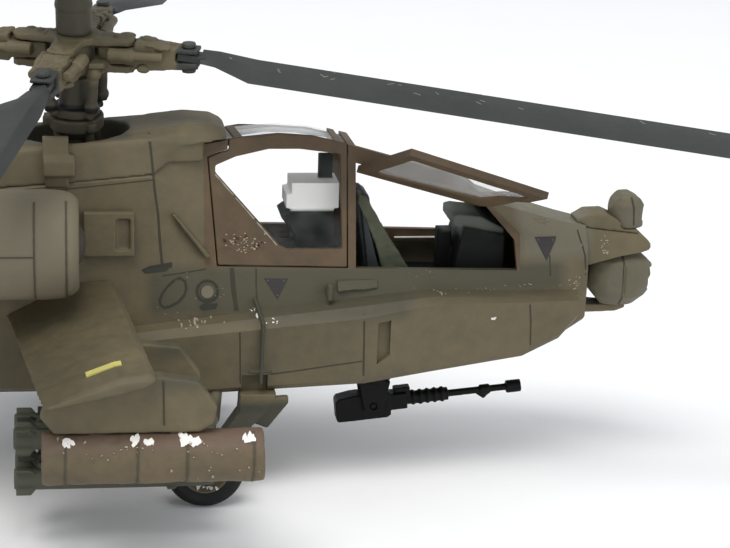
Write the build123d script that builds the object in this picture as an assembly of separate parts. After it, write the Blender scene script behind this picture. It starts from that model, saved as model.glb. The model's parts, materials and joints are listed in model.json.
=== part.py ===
from build123d import *
import os
from math import cos, hypot, radians, sin

# A 1/72 scale model of a tandem-seat attack helicopter, millimetres.
# Stations are measured from the rotor mast: x forward, y to port, z up from the ground.
# Every part is built there and moved at the end, so that the origin is under the middle of the model.

# ---------------------------------------------------------------- driving dimensions
ROTOR_RADIUS = 101.6
BLADE_CHORD = 7.4
BLADE_ROOT = 14.6
BLADE_DROOP = 4.8            # degrees below the hub plane
ROTOR_AZIMUTH = -15.0        # rest azimuth of the first blade, degrees from straight ahead
MAST_PITCH = -1.0            # degrees, positive forward
MAST_ROLL = 8.3              # degrees, the loose mast leans to starboard
MAST_PIVOT_Z = 44.0
BLADES = 4

WALL = 1.0                   # moulded shell thickness
SEAM = 0.15                  # gap round the doors
FIT = 0.05                   # running fit, radial

SILL_REAR = 14.4             # rear end of the cockpits
DOOR_SPLIT = 31.6            # post between the two doors
COWL_TOP_X = 47.8            # nose cowl meets the windshield here
COWL_SIDE_X = 51.6
NOSE_END = 60.3

TAIL_END = -124.0
TAIL_ROTOR = (-125.0, 40.3)
TAIL_ROTOR_RADIUS = 19.4

WHEEL_X, WHEEL_Y, WHEEL_RADIUS = 14.15, 15.4, 4.52
WHEEL_WIDTH = 2.9
TAIL_WHEEL_X, TAIL_WHEEL_RADIUS = -133.0, 2.5

WING_TIP_Y = 36.3
INNER_PYLON_Y, OUTER_PYLON_Y = 22.2, 32.7
POD_RADIUS, POD_Z = 2.83, 12.8
POD_REAR, POD_FRONT = -3.9, 19.1
MISSILE_RADIUS, MISSILE_REAR, MISSILE_LENGTH = 1.22, -7.0, 22.4

NACELLE_Y, NACELLE_Z, NACELLE_RADIUS = 14.6, 30.8, 6.05

GUN_X, GUN_PIVOT_Z, GUN_RISE = 35.4, 6.6, 5.7
SENSOR_X = 64.9
SENSOR_BOTTOM, SENSOR_TOP = 19.3, 26.0
DOOR_OPEN = 105.0            # the front door stands this far open at rest


# ---------------------------------------------------------------- construction helpers
def ring(x, half):
    """Closed polygon at station x: the starboard half from top to bottom, then the port half back up."""
    right = [Vector(x, -y, z) for y, z in half]
    left = [Vector(x, y, z) for y, z in reversed(half)]
    return Wire.make_polygon(right + left, close=True)


def hull(stations):
    """Ruled skin through symmetric polygons; stations are (x, half outline)."""
    return Solid.make_loft([ring(x, half) for x, half in stations], ruled=True)


def loft(polygons):
    """Ruled solid through closed polygons of (x, y, z) points."""
    return Solid.make_loft([Wire.make_polygon([Vector(*p) for p in poly], close=True)
                            for poly in polygons], ruled=True)


def slab_y(outline, y0, y1):
    """Outline of (x, z) points, filled between two y planes."""
    face = Face(Wire.make_polygon([Vector(x, y0, z) for x, z in outline], close=True))
    return Solid.extrude(face, Vector(0, y1 - y0, 0))


def slab_z(outline, z0, z1):
    """Outline of (x, y) points, filled between two z planes."""
    face = Face(Wire.make_polygon([Vector(x, y, z0) for x, y in outline], close=True))
    return Solid.extrude(face, Vector(0, 0, z1 - z0))


def slab_x(outline, x0, x1):
    """Outline of (y, z) points, filled between two x planes."""
    face = Face(Wire.make_polygon([Vector(x0, y, z) for y, z in outline], close=True))
    return Solid.extrude(face, Vector(x1 - x0, 0, 0))


def block(x0, x1, y0, y1, z0, z1):
    return Pos((x0 + x1) / 2, (y0 + y1) / 2, (z0 + z1) / 2) * Box(x1 - x0, y1 - y0, z1 - z0)


def rod(start, end, radius, end_radius=None):
    """Round bar between two points, tapered if the two radii differ."""
    a, b = Vector(*start), Vector(*end)
    plane = Plane(origin=a, z_dir=b - a)
    if end_radius is None:
        return Solid.make_cylinder(radius, (b - a).length, plane)
    return Solid.make_cone(radius, end_radius, (b - a).length, plane)


def turned(profile, plane=Plane.XZ):
    """Solid of revolution: profile of (radius, height) points about the plane's vertical axis."""
    face = Face(Wire.make_polygon([plane.from_local_coords(Vector(r, h, 0)) for r, h in profile],
                                  close=True))
    return Solid.revolve(face, 360, Axis(plane.origin, plane.y_dir))


def group(*shapes):
    """Several separate solids in one node."""
    solids = []
    for shape in shapes:
        solids += list(shape.solids())
    return Compound(solids)


def both_sides(shape):
    """The starboard solid and its mirror image, as two solids."""
    return group(shape, shape.mirror(Plane.XZ))


def main_solid(shape):
    """The largest solid of a cut shape, without the offcuts."""
    return max(shape.solids(), key=lambda solid: solid.volume)


def port(shape):
    return group(shape.mirror(Plane.XZ))


def between(table, x):
    """Half outline at station x, on the straight lines between the table's stations."""
    rows = sorted(table)
    for (xa, a), (xb, b) in zip(rows, rows[1:]):
        if xa <= x <= xb:
            t = (x - xa) / (xb - xa)
            return [(ya + (yb - ya) * t, za + (zb - za) * t) for (ya, za), (yb, zb) in zip(a, b)]
    raise ValueError("station outside the table")


# ---------------------------------------------------------------- fuselage lines
# Front, below the cockpit sill: sill, shoulder, lower side, bottom edge.
LOWER = [
    (SILL_REAR, [(6.9, 25.9), (8.3, 20.0), (8.0, 12.0), (6.0, 10.9)]),
    (41.0, [(6.75, 25.25), (7.8, 22.8), (7.5, 14.2), (5.6, 13.1)]),
    (52.0, [(6.6, 25.0), (7.1, 22.3), (6.9, 15.8), (5.0, 14.8)]),
    (57.5, [(6.0, 24.7), (6.2, 22.0), (5.8, 17.2), (4.4, 16.4)]),
    (NOSE_END, [(4.9, 24.4), (4.9, 22.0), (4.6, 18.6), (3.8, 18.0)]),
]
# Canopy and nose cowl, above the sill: top edge and side knuckle.
UPPER = [
    (SILL_REAR, (3.9, 39.6), (5.4, 32.8)),
    (19.0, (3.8, 40.35), (5.32, 32.9)),
    (23.0, (3.7, 40.75), (5.28, 32.9)),
    (27.0, (3.7, 40.5), (5.27, 32.8)),
    (DOOR_SPLIT, (3.7, 39.4), (5.24, 32.5)),
    (44.5, (3.5, 35.8), (5.35, 30.4)),
    (COWL_TOP_X, (4.0, 32.9), (5.55, 29.9)),
    (52.0, (3.6, 31.5), (5.65, 29.1)),
    (57.5, (3.0, 29.95), (5.0, 27.8)),
    (NOSE_END, (2.6, 29.3), (4.2, 27.2)),
]
# Behind the cockpits: top, upper side, waist, shoulder, lower side, bottom edge.
REAR = [
    (SILL_REAR, [(3.9, 39.6), (5.4, 32.8), (6.9, 25.9), (8.3, 20.0), (8.0, 12.0), (6.0, 10.9)]),
    (8.6, [(6.7, 37.6), (7.5, 36.6), (7.5, 25.9), (8.4, 19.2), (8.0, 11.8), (6.0, 10.7)]),
    (-12.0, [(6.6, 35.8), (7.7, 34.8), (7.8, 25.8), (8.4, 18.4), (8.0, 11.8), (6.0, 10.7)]),
    (-36.0, [(5.2, 33.0), (6.8, 31.6), (7.0, 25.0), (7.2, 19.0), (6.8, 13.4), (5.2, 12.4)]),
    (-50.0, [(4.0, 29.4), (5.7, 27.6), (6.0, 24.0), (5.9, 20.0), (5.4, 15.6), (4.0, 14.6)]),
    (-90.0, [(2.9, 28.4), (4.3, 27.0), (4.5, 24.0), (4.4, 21.0), (4.0, 18.4), (2.9, 17.5)]),
    (TAIL_END, [(2.1, 27.6), (3.0, 26.7), (3.2, 24.6), (3.1, 22.6), (2.8, 20.6), (2.0, 19.8)]),
]


def inset(half, amount, top=True):
    """Half outline moved in by a wall thickness, lifted at the bottom and lowered at the top."""
    moved = [(max(y - amount, 0.4), z) for y, z in half]
    if top:
        moved[0] = (moved[0][0], moved[0][1] - amount)
    moved[-1] = (moved[-1][0], moved[-1][1] + amount)
    return moved


def sill(x):
    return between(LOWER, x)[0]


def upper_half(x, top, knuckle, amount=0.0):
    y, z = sill(x)
    return [(top[0] - amount * 0.8, top[1] - amount), (knuckle[0] - amount, knuckle[1]), (y - amount, z)]


def upper_hull(amount=0.0):
    """Everything above the sill line, from the rear cockpit to the nose, inset by amount."""
    return hull([(x, upper_half(x, top, knuckle, amount)) for x, top, knuckle in UPPER])


def rear_outer():
    return hull(REAR)


def lower_outer():
    return hull(LOWER)


def rear_cavity():
    rows = [(x, inset(half, WALL)) for x, half in REAR]
    rows[-1] = (TAIL_END + WALL, inset(between(REAR, TAIL_END + WALL), WALL))
    rows[0] = (SILL_REAR - WALL, inset(between(REAR, SILL_REAR - WALL), WALL))
    return hull(rows)


def lower_cavity(clearance=0.0):
    amount = WALL + clearance
    rows = []
    for x, half in LOWER:
        inner = inset(half, amount, top=False)
        rows.append((x, [(inner[0][0], inner[0][1] + 0.5)] + inner[1:]))
    rows[-1] = (NOSE_END - WALL, [(y - 0.3, z) for y, z in rows[-1][1]])
    return hull(rows)


# ---------------------------------------------------------------- vertical fin
FIN_OUTLINE = [(-111.0, 26.4), (-128.0, 49.3), (-134.6, 49.3), (-137.2, 21.5), (-131.0, 18.6), (-122.0, 19.4)]


def fin():
    """Swept fin: thick at the boom and thinner towards the tip."""
    tapered = loft([
        [(-107.0, 0, 22.0), (-114.0, -1.5, 22.0), (-130.0, -1.5, 22.0), (-139.0, 0, 22.0),
         (-130.0, 1.5, 22.0), (-114.0, 1.5, 22.0)],
        [(-125.0, 0, 50.0), (-129.5, -0.75, 50.0), (-133.0, -0.75, 50.0), (-137.0, 0, 50.0),
         (-133.0, 0.75, 50.0), (-129.5, 0.75, 50.0)],
    ])
    tapered = tapered.fuse(block(-139, -118, -1.5, 1.5, 17, 22.0)).clean()
    return tapered & slab_y(FIN_OUTLINE, -3, 3)


def airframe_shell():
    """Both fuselage halves before they are split: skin, cavity, mast well and fin."""
    outer = rear_outer().fuse(lower_outer()).fuse(fin()).clean() - sensor_envelope(0.25)
    shell = outer - rear_cavity() - lower_cavity()
    well = Pos(0, 0, 34) * Cylinder(6.1, 14)
    return shell - well - gun_socket() - stabilator_bore()


def half_of(shape, side):
    """Starboard (-1) or port (+1) half."""
    keep = block(-160, 90, 0, 60, -5, 80) if side > 0 else block(-160, 90, -60, 0, -5, 80)
    return shape & keep


# ---------------------------------------------------------------- cheek bays
CHEEK_REAR = 1.0
CHEEK = [
    # station, inner top z, outer top (y, z), outer bottom (y, z), inner bottom z
    (CHEEK_REAR, 18.6, (10.4, 17.2), (10.2, 13.0), 12.6),
    (6.0, 19.0, (11.0, 18.4), (10.6, 11.1), 10.9),
    (33.0, 22.0, (11.0, 21.0), (10.6, 12.4), 12.2),
    (41.0, 22.75, (10.2, 22.3), (9.9, 13.5), 13.3),
    (52.0, 22.35, (9.2, 22.1), (8.9, 14.9), 14.7),
    (56.5, 22.2, (8.3, 22.0), (8.1, 16.8), 16.6),
    (58.8, 22.0, (7.4, 21.7), (7.3, 19.0), 18.8),
]


def cheek_bay(fuselage_skin):
    """Long equipment bay on the starboard side, closed against the fuselage."""
    rows = []
    for x, inner_top, (yt, zt), (yb, zb), inner_bottom in CHEEK:
        rows.append([(x, -3.4, inner_top + 1.2), (x, -yt + 0.9, inner_top - 0.05), (x, -yt, zt - 0.3),
                     (x, -yb, zb + 0.7), (x, -yb + 0.7, zb), (x, -3.4, inner_bottom)])
    bay = loft(rows)
    pocket = slab_y([(34.3, 14.9), (35.8, 16.0), (35.8, 20.3), (34.3, 20.0)], -12, -9.9)
    step_pocket = block(18.6, 21.6, -12, -9.7, 11.6, 13.9)
    return bay - fuselage_skin - pocket - step_pocket


# ---------------------------------------------------------------- nose
def nose_cowl_cutter():
    """Everything ahead of the windshield line."""
    return slab_y([(COWL_TOP_X - 1.4, 34.2), (COWL_SIDE_X, 29.2), (COWL_SIDE_X, 20), (80, 20), (80, 40),
                   (COWL_TOP_X - 1.4, 40)], -12, 12)


def sensor_envelope(clearance=0.0):
    """Space swept by the sensor turret as it turns about its vertical axis."""
    c = clearance
    axis = Plane(origin=(SENSOR_X, 0, 0), x_dir=(1, 0, 0), z_dir=(0, -1, 0))
    return turned([(0, SENSOR_BOTTOM - c), (2.6 + c, SENSOR_BOTTOM - c), (4.0 + c, 20.6 - c),
                   (4.7 + c, 22.0), (4.7 + c, 23.6), (4.1 + c, 25.0 + c), (2.6 + c, SENSOR_TOP + c),
                   (0, SENSOR_TOP + c)], axis)


def nose_cowl():
    """Cowl over the front instruments, running forward into the sensor beak."""
    shell = upper_hull() & nose_cowl_cutter()
    cavity = upper_hull(WALL) & block(40, NOSE_END - WALL, -9, 9, 20, 40)
    shell = shell - cavity
    beak = loft([
        [(NOSE_END, -4.6, 25.0), (NOSE_END, -2.6, 29.0), (NOSE_END, 2.6, 29.0), (NOSE_END, 4.6, 25.0)],
        [(64.5, -4.0, 25.9), (64.5, -2.9, 28.5), (64.5, 2.9, 28.5), (64.5, 4.0, 25.9)],
        [(67.2, -3.3, 26.15), (67.2, -2.7, 28.15), (67.2, 2.7, 28.15), (67.2, 3.3, 26.15)],
        [(68.2, -2.8, 26.3), (68.2, -2.3, 27.4), (68.2, 2.3, 27.4), (68.2, 2.8, 26.3)],
        [(68.6, -2.2, 26.5), (68.6, -2.0, 26.9), (68.6, 2.0, 26.9), (68.6, 2.2, 26.5)],
    ])
    socket = Pos(SENSOR_X, 0, 25.6) * Cylinder(0.55 + FIT, 3)
    return shell.fuse(beak).clean() - sensor_envelope(0.2) - socket - night_socket()


def sensor_turret():
    """Drum turret under the beak, faceted at the front, round at the rear, with its top and bottom pivots."""
    side = slab_y([(60.9, 21.8), (62.9, SENSOR_BOTTOM), (66.8, SENSOR_BOTTOM), (68.6, 21.2), (69.3, 22.6),
                   (69.1, 24.3), (67.2, SENSOR_TOP), (63.2, SENSOR_TOP), (61.2, 24.9)], -6, 6)
    body = side & sensor_envelope() & block(60.0, 70, -4.3, 4.3, 15, 30)
    core = block(64, 66, -4.05, 4.05, SENSOR_BOTTOM + 0.3, SENSOR_TOP - 0.3)
    seam = block(64.95, 65.2, -6, 6, 15, 30) - core
    window = slab_x([(-3.2, 21.3), (-0.8, 21.3), (-0.8, 24.0), (-3.2, 24.0)], 68.3, 70)
    window_port = slab_x([(0.9, 21.5), (3.1, 21.5), (3.1, 23.7), (0.9, 23.7)], 68.3, 70)
    split = block(66.8, 70, -0.35, 0.35, 18, 27)
    body = body - seam - window - window_port - split
    pivots = Pos(SENSOR_X, 0, 22.6) * Cylinder(0.55, 8.6)
    return body.fuse(pivots).clean()


def sensor_bracket():
    """Bar from the nose bulkhead to the turret's lower pivot."""
    bar = loft([
        [(NOSE_END - 1.2, -1.8, 18.15), (NOSE_END - 1.2, 1.8, 18.15), (NOSE_END - 1.2, 1.8, 19.3),
         (NOSE_END - 1.2, -1.8, 19.3)],
        [(SENSOR_X, -1.3, 18.15), (SENSOR_X, 1.3, 18.15), (SENSOR_X, 1.3, 19.05), (SENSOR_X, -1.3, 19.05)],
        [(SENSOR_X + 1.4, -0.6, 18.4), (SENSOR_X + 1.4, 0.6, 18.4), (SENSOR_X + 1.4, 0.6, 19.0),
         (SENSOR_X + 1.4, -0.6, 19.0)],
    ])
    return bar - (Pos(SENSOR_X, 0, 18.6) * Cylinder(0.55 + FIT, 3))


NIGHT_X = 65.8


def night_socket():
    return Pos(NIGHT_X, 0, 28.9) * Cylinder(0.5 + FIT, 3.2)


def night_sensor():
    """Small turret on top of the beak, with a rounded hood and a flat front window."""
    side = slab_y([(63.7, 28.75), (67.9, 28.75), (67.8, 31.4), (67.2, 32.3), (66.2, 32.85), (65.0, 32.8),
                   (64.1, 32.0), (63.7, 31.0)], -3, 3)
    axis = Plane(origin=(NIGHT_X, 0, 0), x_dir=(1, 0, 0), z_dir=(0, -1, 0))
    round_plan = turned([(0, 28.75), (2.15, 28.75), (2.25, 31.5), (1.9, 32.5), (1.3, 33.0), (0, 33.0)], axis)
    window = block(67.6, 69, -1.2, 1.2, 29.5, 31.4)
    pivot = Pos(NIGHT_X, 0, 28.3) * Cylinder(0.5, 1.4)
    return ((side & round_plan) - window).fuse(pivot).clean()


def night_sensor_housing(nose):
    """Fixed fairing and mounting ring behind and under the small turret."""
    fairing = loft([
        [(59.4, -1.8, 28.8), (59.4, -1.5, 29.9), (59.4, 1.5, 29.9), (59.4, 1.8, 28.8)],
        [(60.8, -2.5, 28.2), (60.8, -2.1, 30.5), (60.8, 2.1, 30.5), (60.8, 2.5, 28.2)],
        [(63.0, -2.6, 28.0), (63.0, -2.2, 30.6), (63.0, 2.2, 30.6), (63.0, 2.6, 28.0)],
        [(66.9, -2.5, 28.0), (66.9, -2.2, 28.65), (66.9, 2.2, 28.65), (66.9, 2.5, 28.0)],
    ])
    sweep = Pos(NIGHT_X, 0, 31) * Cylinder(2.45, 4.6)
    return main_solid(fairing - sweep - night_socket() - nose)


# ---------------------------------------------------------------- canopy and doors
REAR_DOOR = [(16.0, 26.0), (31.0, 25.62), (31.0, 41.6), (17.4, 41.6), (17.3, 38.9), (16.2, 38.6),
             (14.95, 38.1)]
REAR_WINDOW = [(15.75, 36.4), (23.2, 28.1), (24.0, 27.7), (30.4, 27.7), (30.2, 38.45), (25.5, 39.05),
               (21.9, 39.05), (18.1, 38.2), (15.75, 37.2)]
PORT_REAR_WINDOW = [(16.6, 27.7), (30.4, 27.5), (30.2, 38.6), (25.5, 39.35), (22.0, 39.4), (18.4, 38.8),
                    (15.9, 37.2)]
FRONT_DOOR = [(32.3, 25.6), (51.0, 25.2), (50.7, 28.4), (46.6, 33.03), (32.3, 37.1)]
FRONT_WINDOW = [(33.6, 27.1), (49.5, 26.7), (49.3, 28.1), (46.0, 31.6), (34.3, 35.1), (33.6, 34.5)]
PORT_FRONT_WINDOW = [(33.2, 27.1), (49.5, 26.7), (49.3, 28.1), (45.6, 32.2), (34.0, 35.9), (33.2, 35.5)]
FRONT_HINGE = ((32.3, 37.15), (47.6, 32.8))
REAR_HINGE = (23.0, -3.28, 40.9)
CANOPY_SKIN = 0.8
GLASS_DEPTH = (0.2, 0.6)


def grown(outline, amount):
    """Convex outline pushed out on every side: the opening that leaves a seam round a door."""
    cx = sum(x for x, z in outline) / len(outline)
    cz = sum(z for x, z in outline) / len(outline)
    lines = []
    for (xa, za), (xb, zb) in zip(outline, outline[1:] + outline[:1]):
        length = hypot(xb - xa, zb - za)
        nx, nz = (zb - za) / length, (xa - xb) / length
        if nx * (xa - cx) + nz * (za - cz) < 0:
            nx, nz = -nx, -nz
        lines.append((nx, nz, nx * xa + nz * za + amount))
    corners = []
    for (a, b, c), (d, e, f) in zip(lines[-1:] + lines[:-1], lines):
        det = a * e - b * d
        corners.append(((c * e - b * f) / det, (a * f - c * d) / det))
    return corners


def canopy_zone():
    return block(SILL_REAR, 60, -9, 9, 20, 45) - nose_cowl_cutter()


def canopy_skin():
    return (upper_hull() - upper_hull(CANOPY_SKIN)) & canopy_zone()


def canopy_panes():
    outer, inner = GLASS_DEPTH
    return (upper_hull(outer) - upper_hull(inner)) & canopy_zone()


def canopy_windows():
    """Cutters for the clear panes that are fixed: roof, port side and windshield."""
    rear, front, gap = [slab_z(plan, 36, 45) for plan in (
        [(14.9, -2.95), (18.0, -2.95), (17.4, 3.85), (14.9, 3.85)],
        [(18.9, -2.95), (29.7, -2.95), (29.5, 3.8), (18.3, 3.8)],
        [(30.5, -2.95), (31.15, -2.95), (30.95, 3.8), (30.3, 3.8)])]
    roof_front = slab_z([(32.1, -2.95), (44.0, -2.85), (44.0, 3.8), (31.9, 4.1)], 33, 45)
    shield = slab_x([(-2.9, 33.3), (2.9, 33.3), (2.75, 35.3), (-2.75, 35.3)], 43.6, 49)
    port_rear = slab_y(PORT_REAR_WINDOW, 3.4, 9)
    port_front = slab_y(PORT_FRONT_WINDOW, 3.4, 9)
    return [rear, front, gap, roof_front, shield, port_rear, port_front]


def canopy_parts():
    skin = canopy_skin()
    windows = canopy_windows()
    frame = skin - windows
    frame = frame - slab_y(grown(REAR_DOOR, SEAM), -9, -3.2) - slab_y(grown(FRONT_DOOR, SEAM + 0.1), -9, -3.2)
    screen = block(31.3, 31.7, -8, 8, 25.5, 41) & upper_hull(CANOPY_SKIN + 0.1)
    panes = canopy_panes()
    glass = [panes & w for w in windows]
    return frame, group(*glass, screen)


def door(outline, window):
    """Frame and pane of a starboard door, in its closed place."""
    skin = canopy_skin()
    frame = (skin & slab_y(outline, -9, -3.35)) - slab_y(window, -9, -2)
    pane = canopy_panes() & slab_y(window, -9, -3.35)
    return frame, pane


def front_hinge_axis():
    """Hinge line of the front door: along its top edge, on the outer surface, pointing aft."""
    ends = []
    for x, z in FRONT_HINGE:
        rows = [(s, [t, k, sill(s)]) for s, t, k in UPPER]
        half = between(rows, x)
        (y0, z0), (y1, z1) = half[0], half[1]
        share = max(0.0, min(1.0, (z0 - z) / (z0 - z1)))
        ends.append(Vector(x, -(y0 + (y1 - y0) * share) - 0.02, z))
    return Axis(ends[1], ends[0] - ends[1])


def opened(shape, angle=DOOR_OPEN):
    return shape.rotate(front_hinge_axis(), angle)


# ---------------------------------------------------------------- cockpit
def cockpit_tub():
    """Floors, bulkheads and side consoles inside the open hull."""
    room = lower_cavity(FIT)
    rear_floor = block(SILL_REAR + 0.4, 30.6, -9, 9, 17.4, 18.4)
    front_floor = block(30.6, 52.6, -9, 9, 15.8, 16.8)
    step = block(30.0, 31.0, -9, 9, 15.8, 24.6)
    back = block(SILL_REAR + 0.2, SILL_REAR + 1.0, -9, 9, 17.4, 25.2)
    consoles = both_sides(block(33.2, 44.5, -9, -4.4, 16.8, 22.4))
    shelf = block(24.6, 30.0, -4.4, 4.4, 18.4, 22.0)
    tub = rear_floor.fuse(front_floor, step, back, shelf, *consoles.solids()).clean()
    return tub & room


def seat(x, floor_z, back_top, lean):
    """Bucket seat: pan on a pedestal, leaning back with side wings and a head pad."""
    pan = block(x - 0.4, x + 5.2, -2.5, 2.5, floor_z + 2.0, floor_z + 3.3)
    pedestal = block(x + 0.6, x + 4.0, -1.7, 1.7, floor_z, floor_z + 2.0)
    back = slab_y([(x - 0.4, floor_z + 2.0), (x + 0.9, floor_z + 2.0), (x + 0.9 - lean, back_top - 0.4),
                   (x - lean + 0.3, back_top), (x - 0.8 - lean, back_top - 0.4)], -2.6, 2.6)
    side = [(x - 0.4, floor_z + 2.6), (x + 2.6, floor_z + 3.2), (x + 0.2, floor_z + 8.0),
            (x + 0.5 - lean, back_top - 2.5), (x - 0.4 - lean * 0.8, back_top - 2.2)]
    wings = both_sides(slab_y(side, -3.2, -2.55))
    hollow = block(x + 1.2, x + 5.0, -2.0, 2.0, floor_z + 3.0, floor_z + 4)
    return (pan.fuse(pedestal, back, *wings.solids()).clean()) - hollow


PILOT_SEAT = (18.2, 18.4, 32.6, 1.6)
GUNNER_SEAT = (35.0, 16.8, 33.4, 1.9)


def harness(x, floor_z, back_top, lean):
    """Two shoulder straps and a lap strap lying on one seat."""
    top = x + 1.1 - lean * 0.95
    web = [(top, back_top - 0.9), (top + 0.4, back_top - 0.9), (x + 1.55, floor_z + 3.75),
           (x + 1.15, floor_z + 3.75)]
    lap = block(x + 1.3, x + 2.3, -2.4, 2.4, floor_z + 3.35, floor_z + 3.7)
    return [slab_y(web, -1.6, -0.7), slab_y(web, 0.9, 1.8), lap]


def gunner_pads():
    """Thick folded shoulder pads hanging from the front headrest to the lap."""
    side = [(32.6, 32.4), (32.6, 33.4), (33.5, 33.2), (34.7, 31.1), (36.6, 27.7), (38.8, 24.5), (38.4, 23.9),
            (35.9, 23.9), (34.7, 27.7), (33.4, 30.8)]
    return [slab_y(side, -3.25, -0.9), slab_y(side, 0.9, 3.25)]


def seat_harnesses(seats):
    straps = harness(*PILOT_SEAT) + gunner_pads()
    solids = [s - seats for s in straps]
    return group(*[t for s in solids for t in s.solids() if t.volume > 0.05])


def pilot_console():
    """Rear instrument stand: dark pedestal with a pale hooded display on top."""
    pedestal = slab_y([(25.2, 22.0), (29.8, 22.0), (29.8, 31.6), (25.0, 31.6), (23.6, 30.6), (25.2, 28.6)],
                      -3.0, 3.0)
    return pedestal


def pilot_display():
    box = slab_y([(24.2, 31.6), (30.4, 31.6), (30.4, 34.7), (24.8, 34.7), (24.8, 33.3), (24.2, 33.3)],
                 -2.6, 2.6)
    post = block(28.2, 29.8, -0.7, 0.7, 34.7, 37.6)
    return box.fuse(post).clean()


def gunner_console():
    """Front instrument panel, its hood and the sight column."""
    face = [(44.9, 16.8), (49.5, 16.8), (50.2, 24.0), (50.2, 28.6), (45.2, 29.6), (44.6, 27.0), (44.2, 24.0)]
    panel = slab_y(face, -4.0, 4.0)
    hood = slab_y([(43.9, 29.7), (45.0, 29.3), (50.2, 28.3), (50.1, 29.3), (47.4, 30.7), (44.6, 31.0),
                   (43.9, 30.8)], -3.4, 3.4)
    column = block(42.6, 44.3, -1.0, 1.0, 22.0, 28.6)
    return panel.fuse(hood, column).clean() & upper_room()


def upper_room():
    """Free space inside the canopy and nose cowl, with the hull below it."""
    return upper_hull(WALL + 0.1).fuse(lower_cavity(FIT)).clean()


# ---------------------------------------------------------------- transmission cowl and engines
def transmission_cowl(fuselage, canopy):
    """Fairing on the upper deck with the round mast well and the hood over the rear canopy."""
    body = hull([
        (-37.0, [(3.0, 34.2), (5.2, 33.4), (5.8, 31.4)]),
        (-30.0, [(4.2, 37.4), (5.9, 36.4), (6.9, 31.8)]),
        (-12.0, [(5.6, 39.6), (6.6, 38.8), (7.65, 34.9)]),
        (0.0, [(6.4, 40.3), (6.75, 39.9), (7.6, 36.0)]),
        (8.6, [(6.4, 41.0), (6.75, 40.6), (7.5, 36.9)]),
        (10.4, [(5.8, 41.3), (6.4, 40.5), (6.3, 38.0)]),
        (14.35, [(4.6, 41.1), (5.1, 40.2), (5.2, 37.8)]),
    ])
    hood = hull([
        (5.0, [(4.4, 40.7), (5.6, 40.6), (6.2, 40.0)]),
        (8.6, [(4.5, 41.5), (5.9, 41.0), (6.6, 39.9)]),
        (12.4, [(4.3, 42.0), (5.5, 41.2), (6.0, 39.95)]),
        (15.4, [(3.7, 41.9), (4.8, 41.2), (5.4, 40.2)]),
        (16.6, [(3.2, 41.4), (4.2, 40.9), (4.8, 40.35)]),
        (17.1, [(2.8, 40.9), (3.8, 40.7), (4.2, 40.5)]),
    ])
    whole = body.fuse(hood).clean()
    well = Pos(0, 0, 38) * Cylinder(6.1, 14)
    return whole - well - fuselage - canopy - rear_outer()


def nacelle(fuselage):
    """Starboard engine nacelle: hollow round body with a rounded intake lip, on a short pylon."""
    r = NACELLE_RADIUS
    skin = [(3.5, -0.3), (4.4, 0.2), (5.0, 0.1), (r - 0.45, -0.55), (r - 0.1, -1.6), (r, -3.0), (r, -17.0),
            (r - 0.6, -25.0), (r - 1.8, -31.0), (r - 2.6, -31.0), (r - 1.5, -25.0), (r - 1.0, -17.0),
            (r - 1.2, -4.0), (3.5, -3.0)]
    body = turned_x(skin)
    sections = []
    for x, reach, top in ((-2.5, 4.5, 33.2), (-26.0, 4.3, 31.6)):
        y = reach - NACELLE_Y
        sections.append([(x, y, 28.6), (x, -6.0, 28.6), (x, -6.0, top), (x, y, top)])
    stub = loft(sections)
    core = turned_x([(0, 1), (r - 0.9, 1), (r - 1.0, -32.0), (0, -32.0)])
    return main_solid(body.fuse(stub - core).clean() - fuselage)


def turned_x(profile):
    """Solid of revolution about the starboard nacelle's axis; profile is (radius, station)."""
    face = Face(Wire.make_polygon([Vector(x, -NACELLE_Y, NACELLE_Z + r) for r, x in profile], close=True))
    axis = Axis(Vector(0, -NACELLE_Y, NACELLE_Z), Vector(1, 0, 0))
    return Solid.revolve(face, 360, axis)


def intake_plug():
    """Rounded gearbox fairing standing in the intake, on three struts that reach the nacelle wall."""
    dome = turned_x([(0, 0.9), (1.4, 0.7), (2.4, 0.0), (2.9, -1.2), (2.9, -7.0), (0, -7.0)])
    struts = []
    for angle in (90, 210, 330):
        spoke = block(-5.0, -3.4, -0.3, 0.3, 2.7, NACELLE_RADIUS - 1.2)
        struts.append(Pos(0, -NACELLE_Y, NACELLE_Z) * spoke.rotate(Axis.X, angle))
    shell = turned_x([(NACELLE_RADIUS - 1.21, -3.3), (NACELLE_RADIUS + 1, -3.3), (NACELLE_RADIUS + 1, -5.1),
                      (NACELLE_RADIUS - 1.21, -5.1)])
    return dome.fuse(*[s - shell for s in struts]).clean()


def exhaust(nacelle_body):
    """Three-finned exhaust box turned outward behind the nacelle."""
    box = loft([
        [(-31.0, -11.6, 28.0), (-31.0, -17.6, 28.0), (-31.0, -17.6, 33.6), (-31.0, -11.6, 33.6)],
        [(-37.0, -10.8, 28.4), (-37.0, -17.4, 28.4), (-37.0, -17.4, 34.0), (-37.0, -10.8, 34.0)],
        [(-43.5, -12.4, 29.4), (-43.5, -18.0, 29.4), (-43.5, -18.0, 33.4), (-43.5, -12.4, 33.4)],
    ])
    ducts = []
    for z in (28.9, 30.5, 32.1):
        ducts.append(slab_z([(-32.5, -12.6), (-32.5, -16.2), (-42.0, -17.2), (-45, -18.4), (-45, -13.2),
                             (-42.0, -13.2)], z + 0.2, z + 1.1))
    return (box - ducts) - nacelle_body


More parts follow.
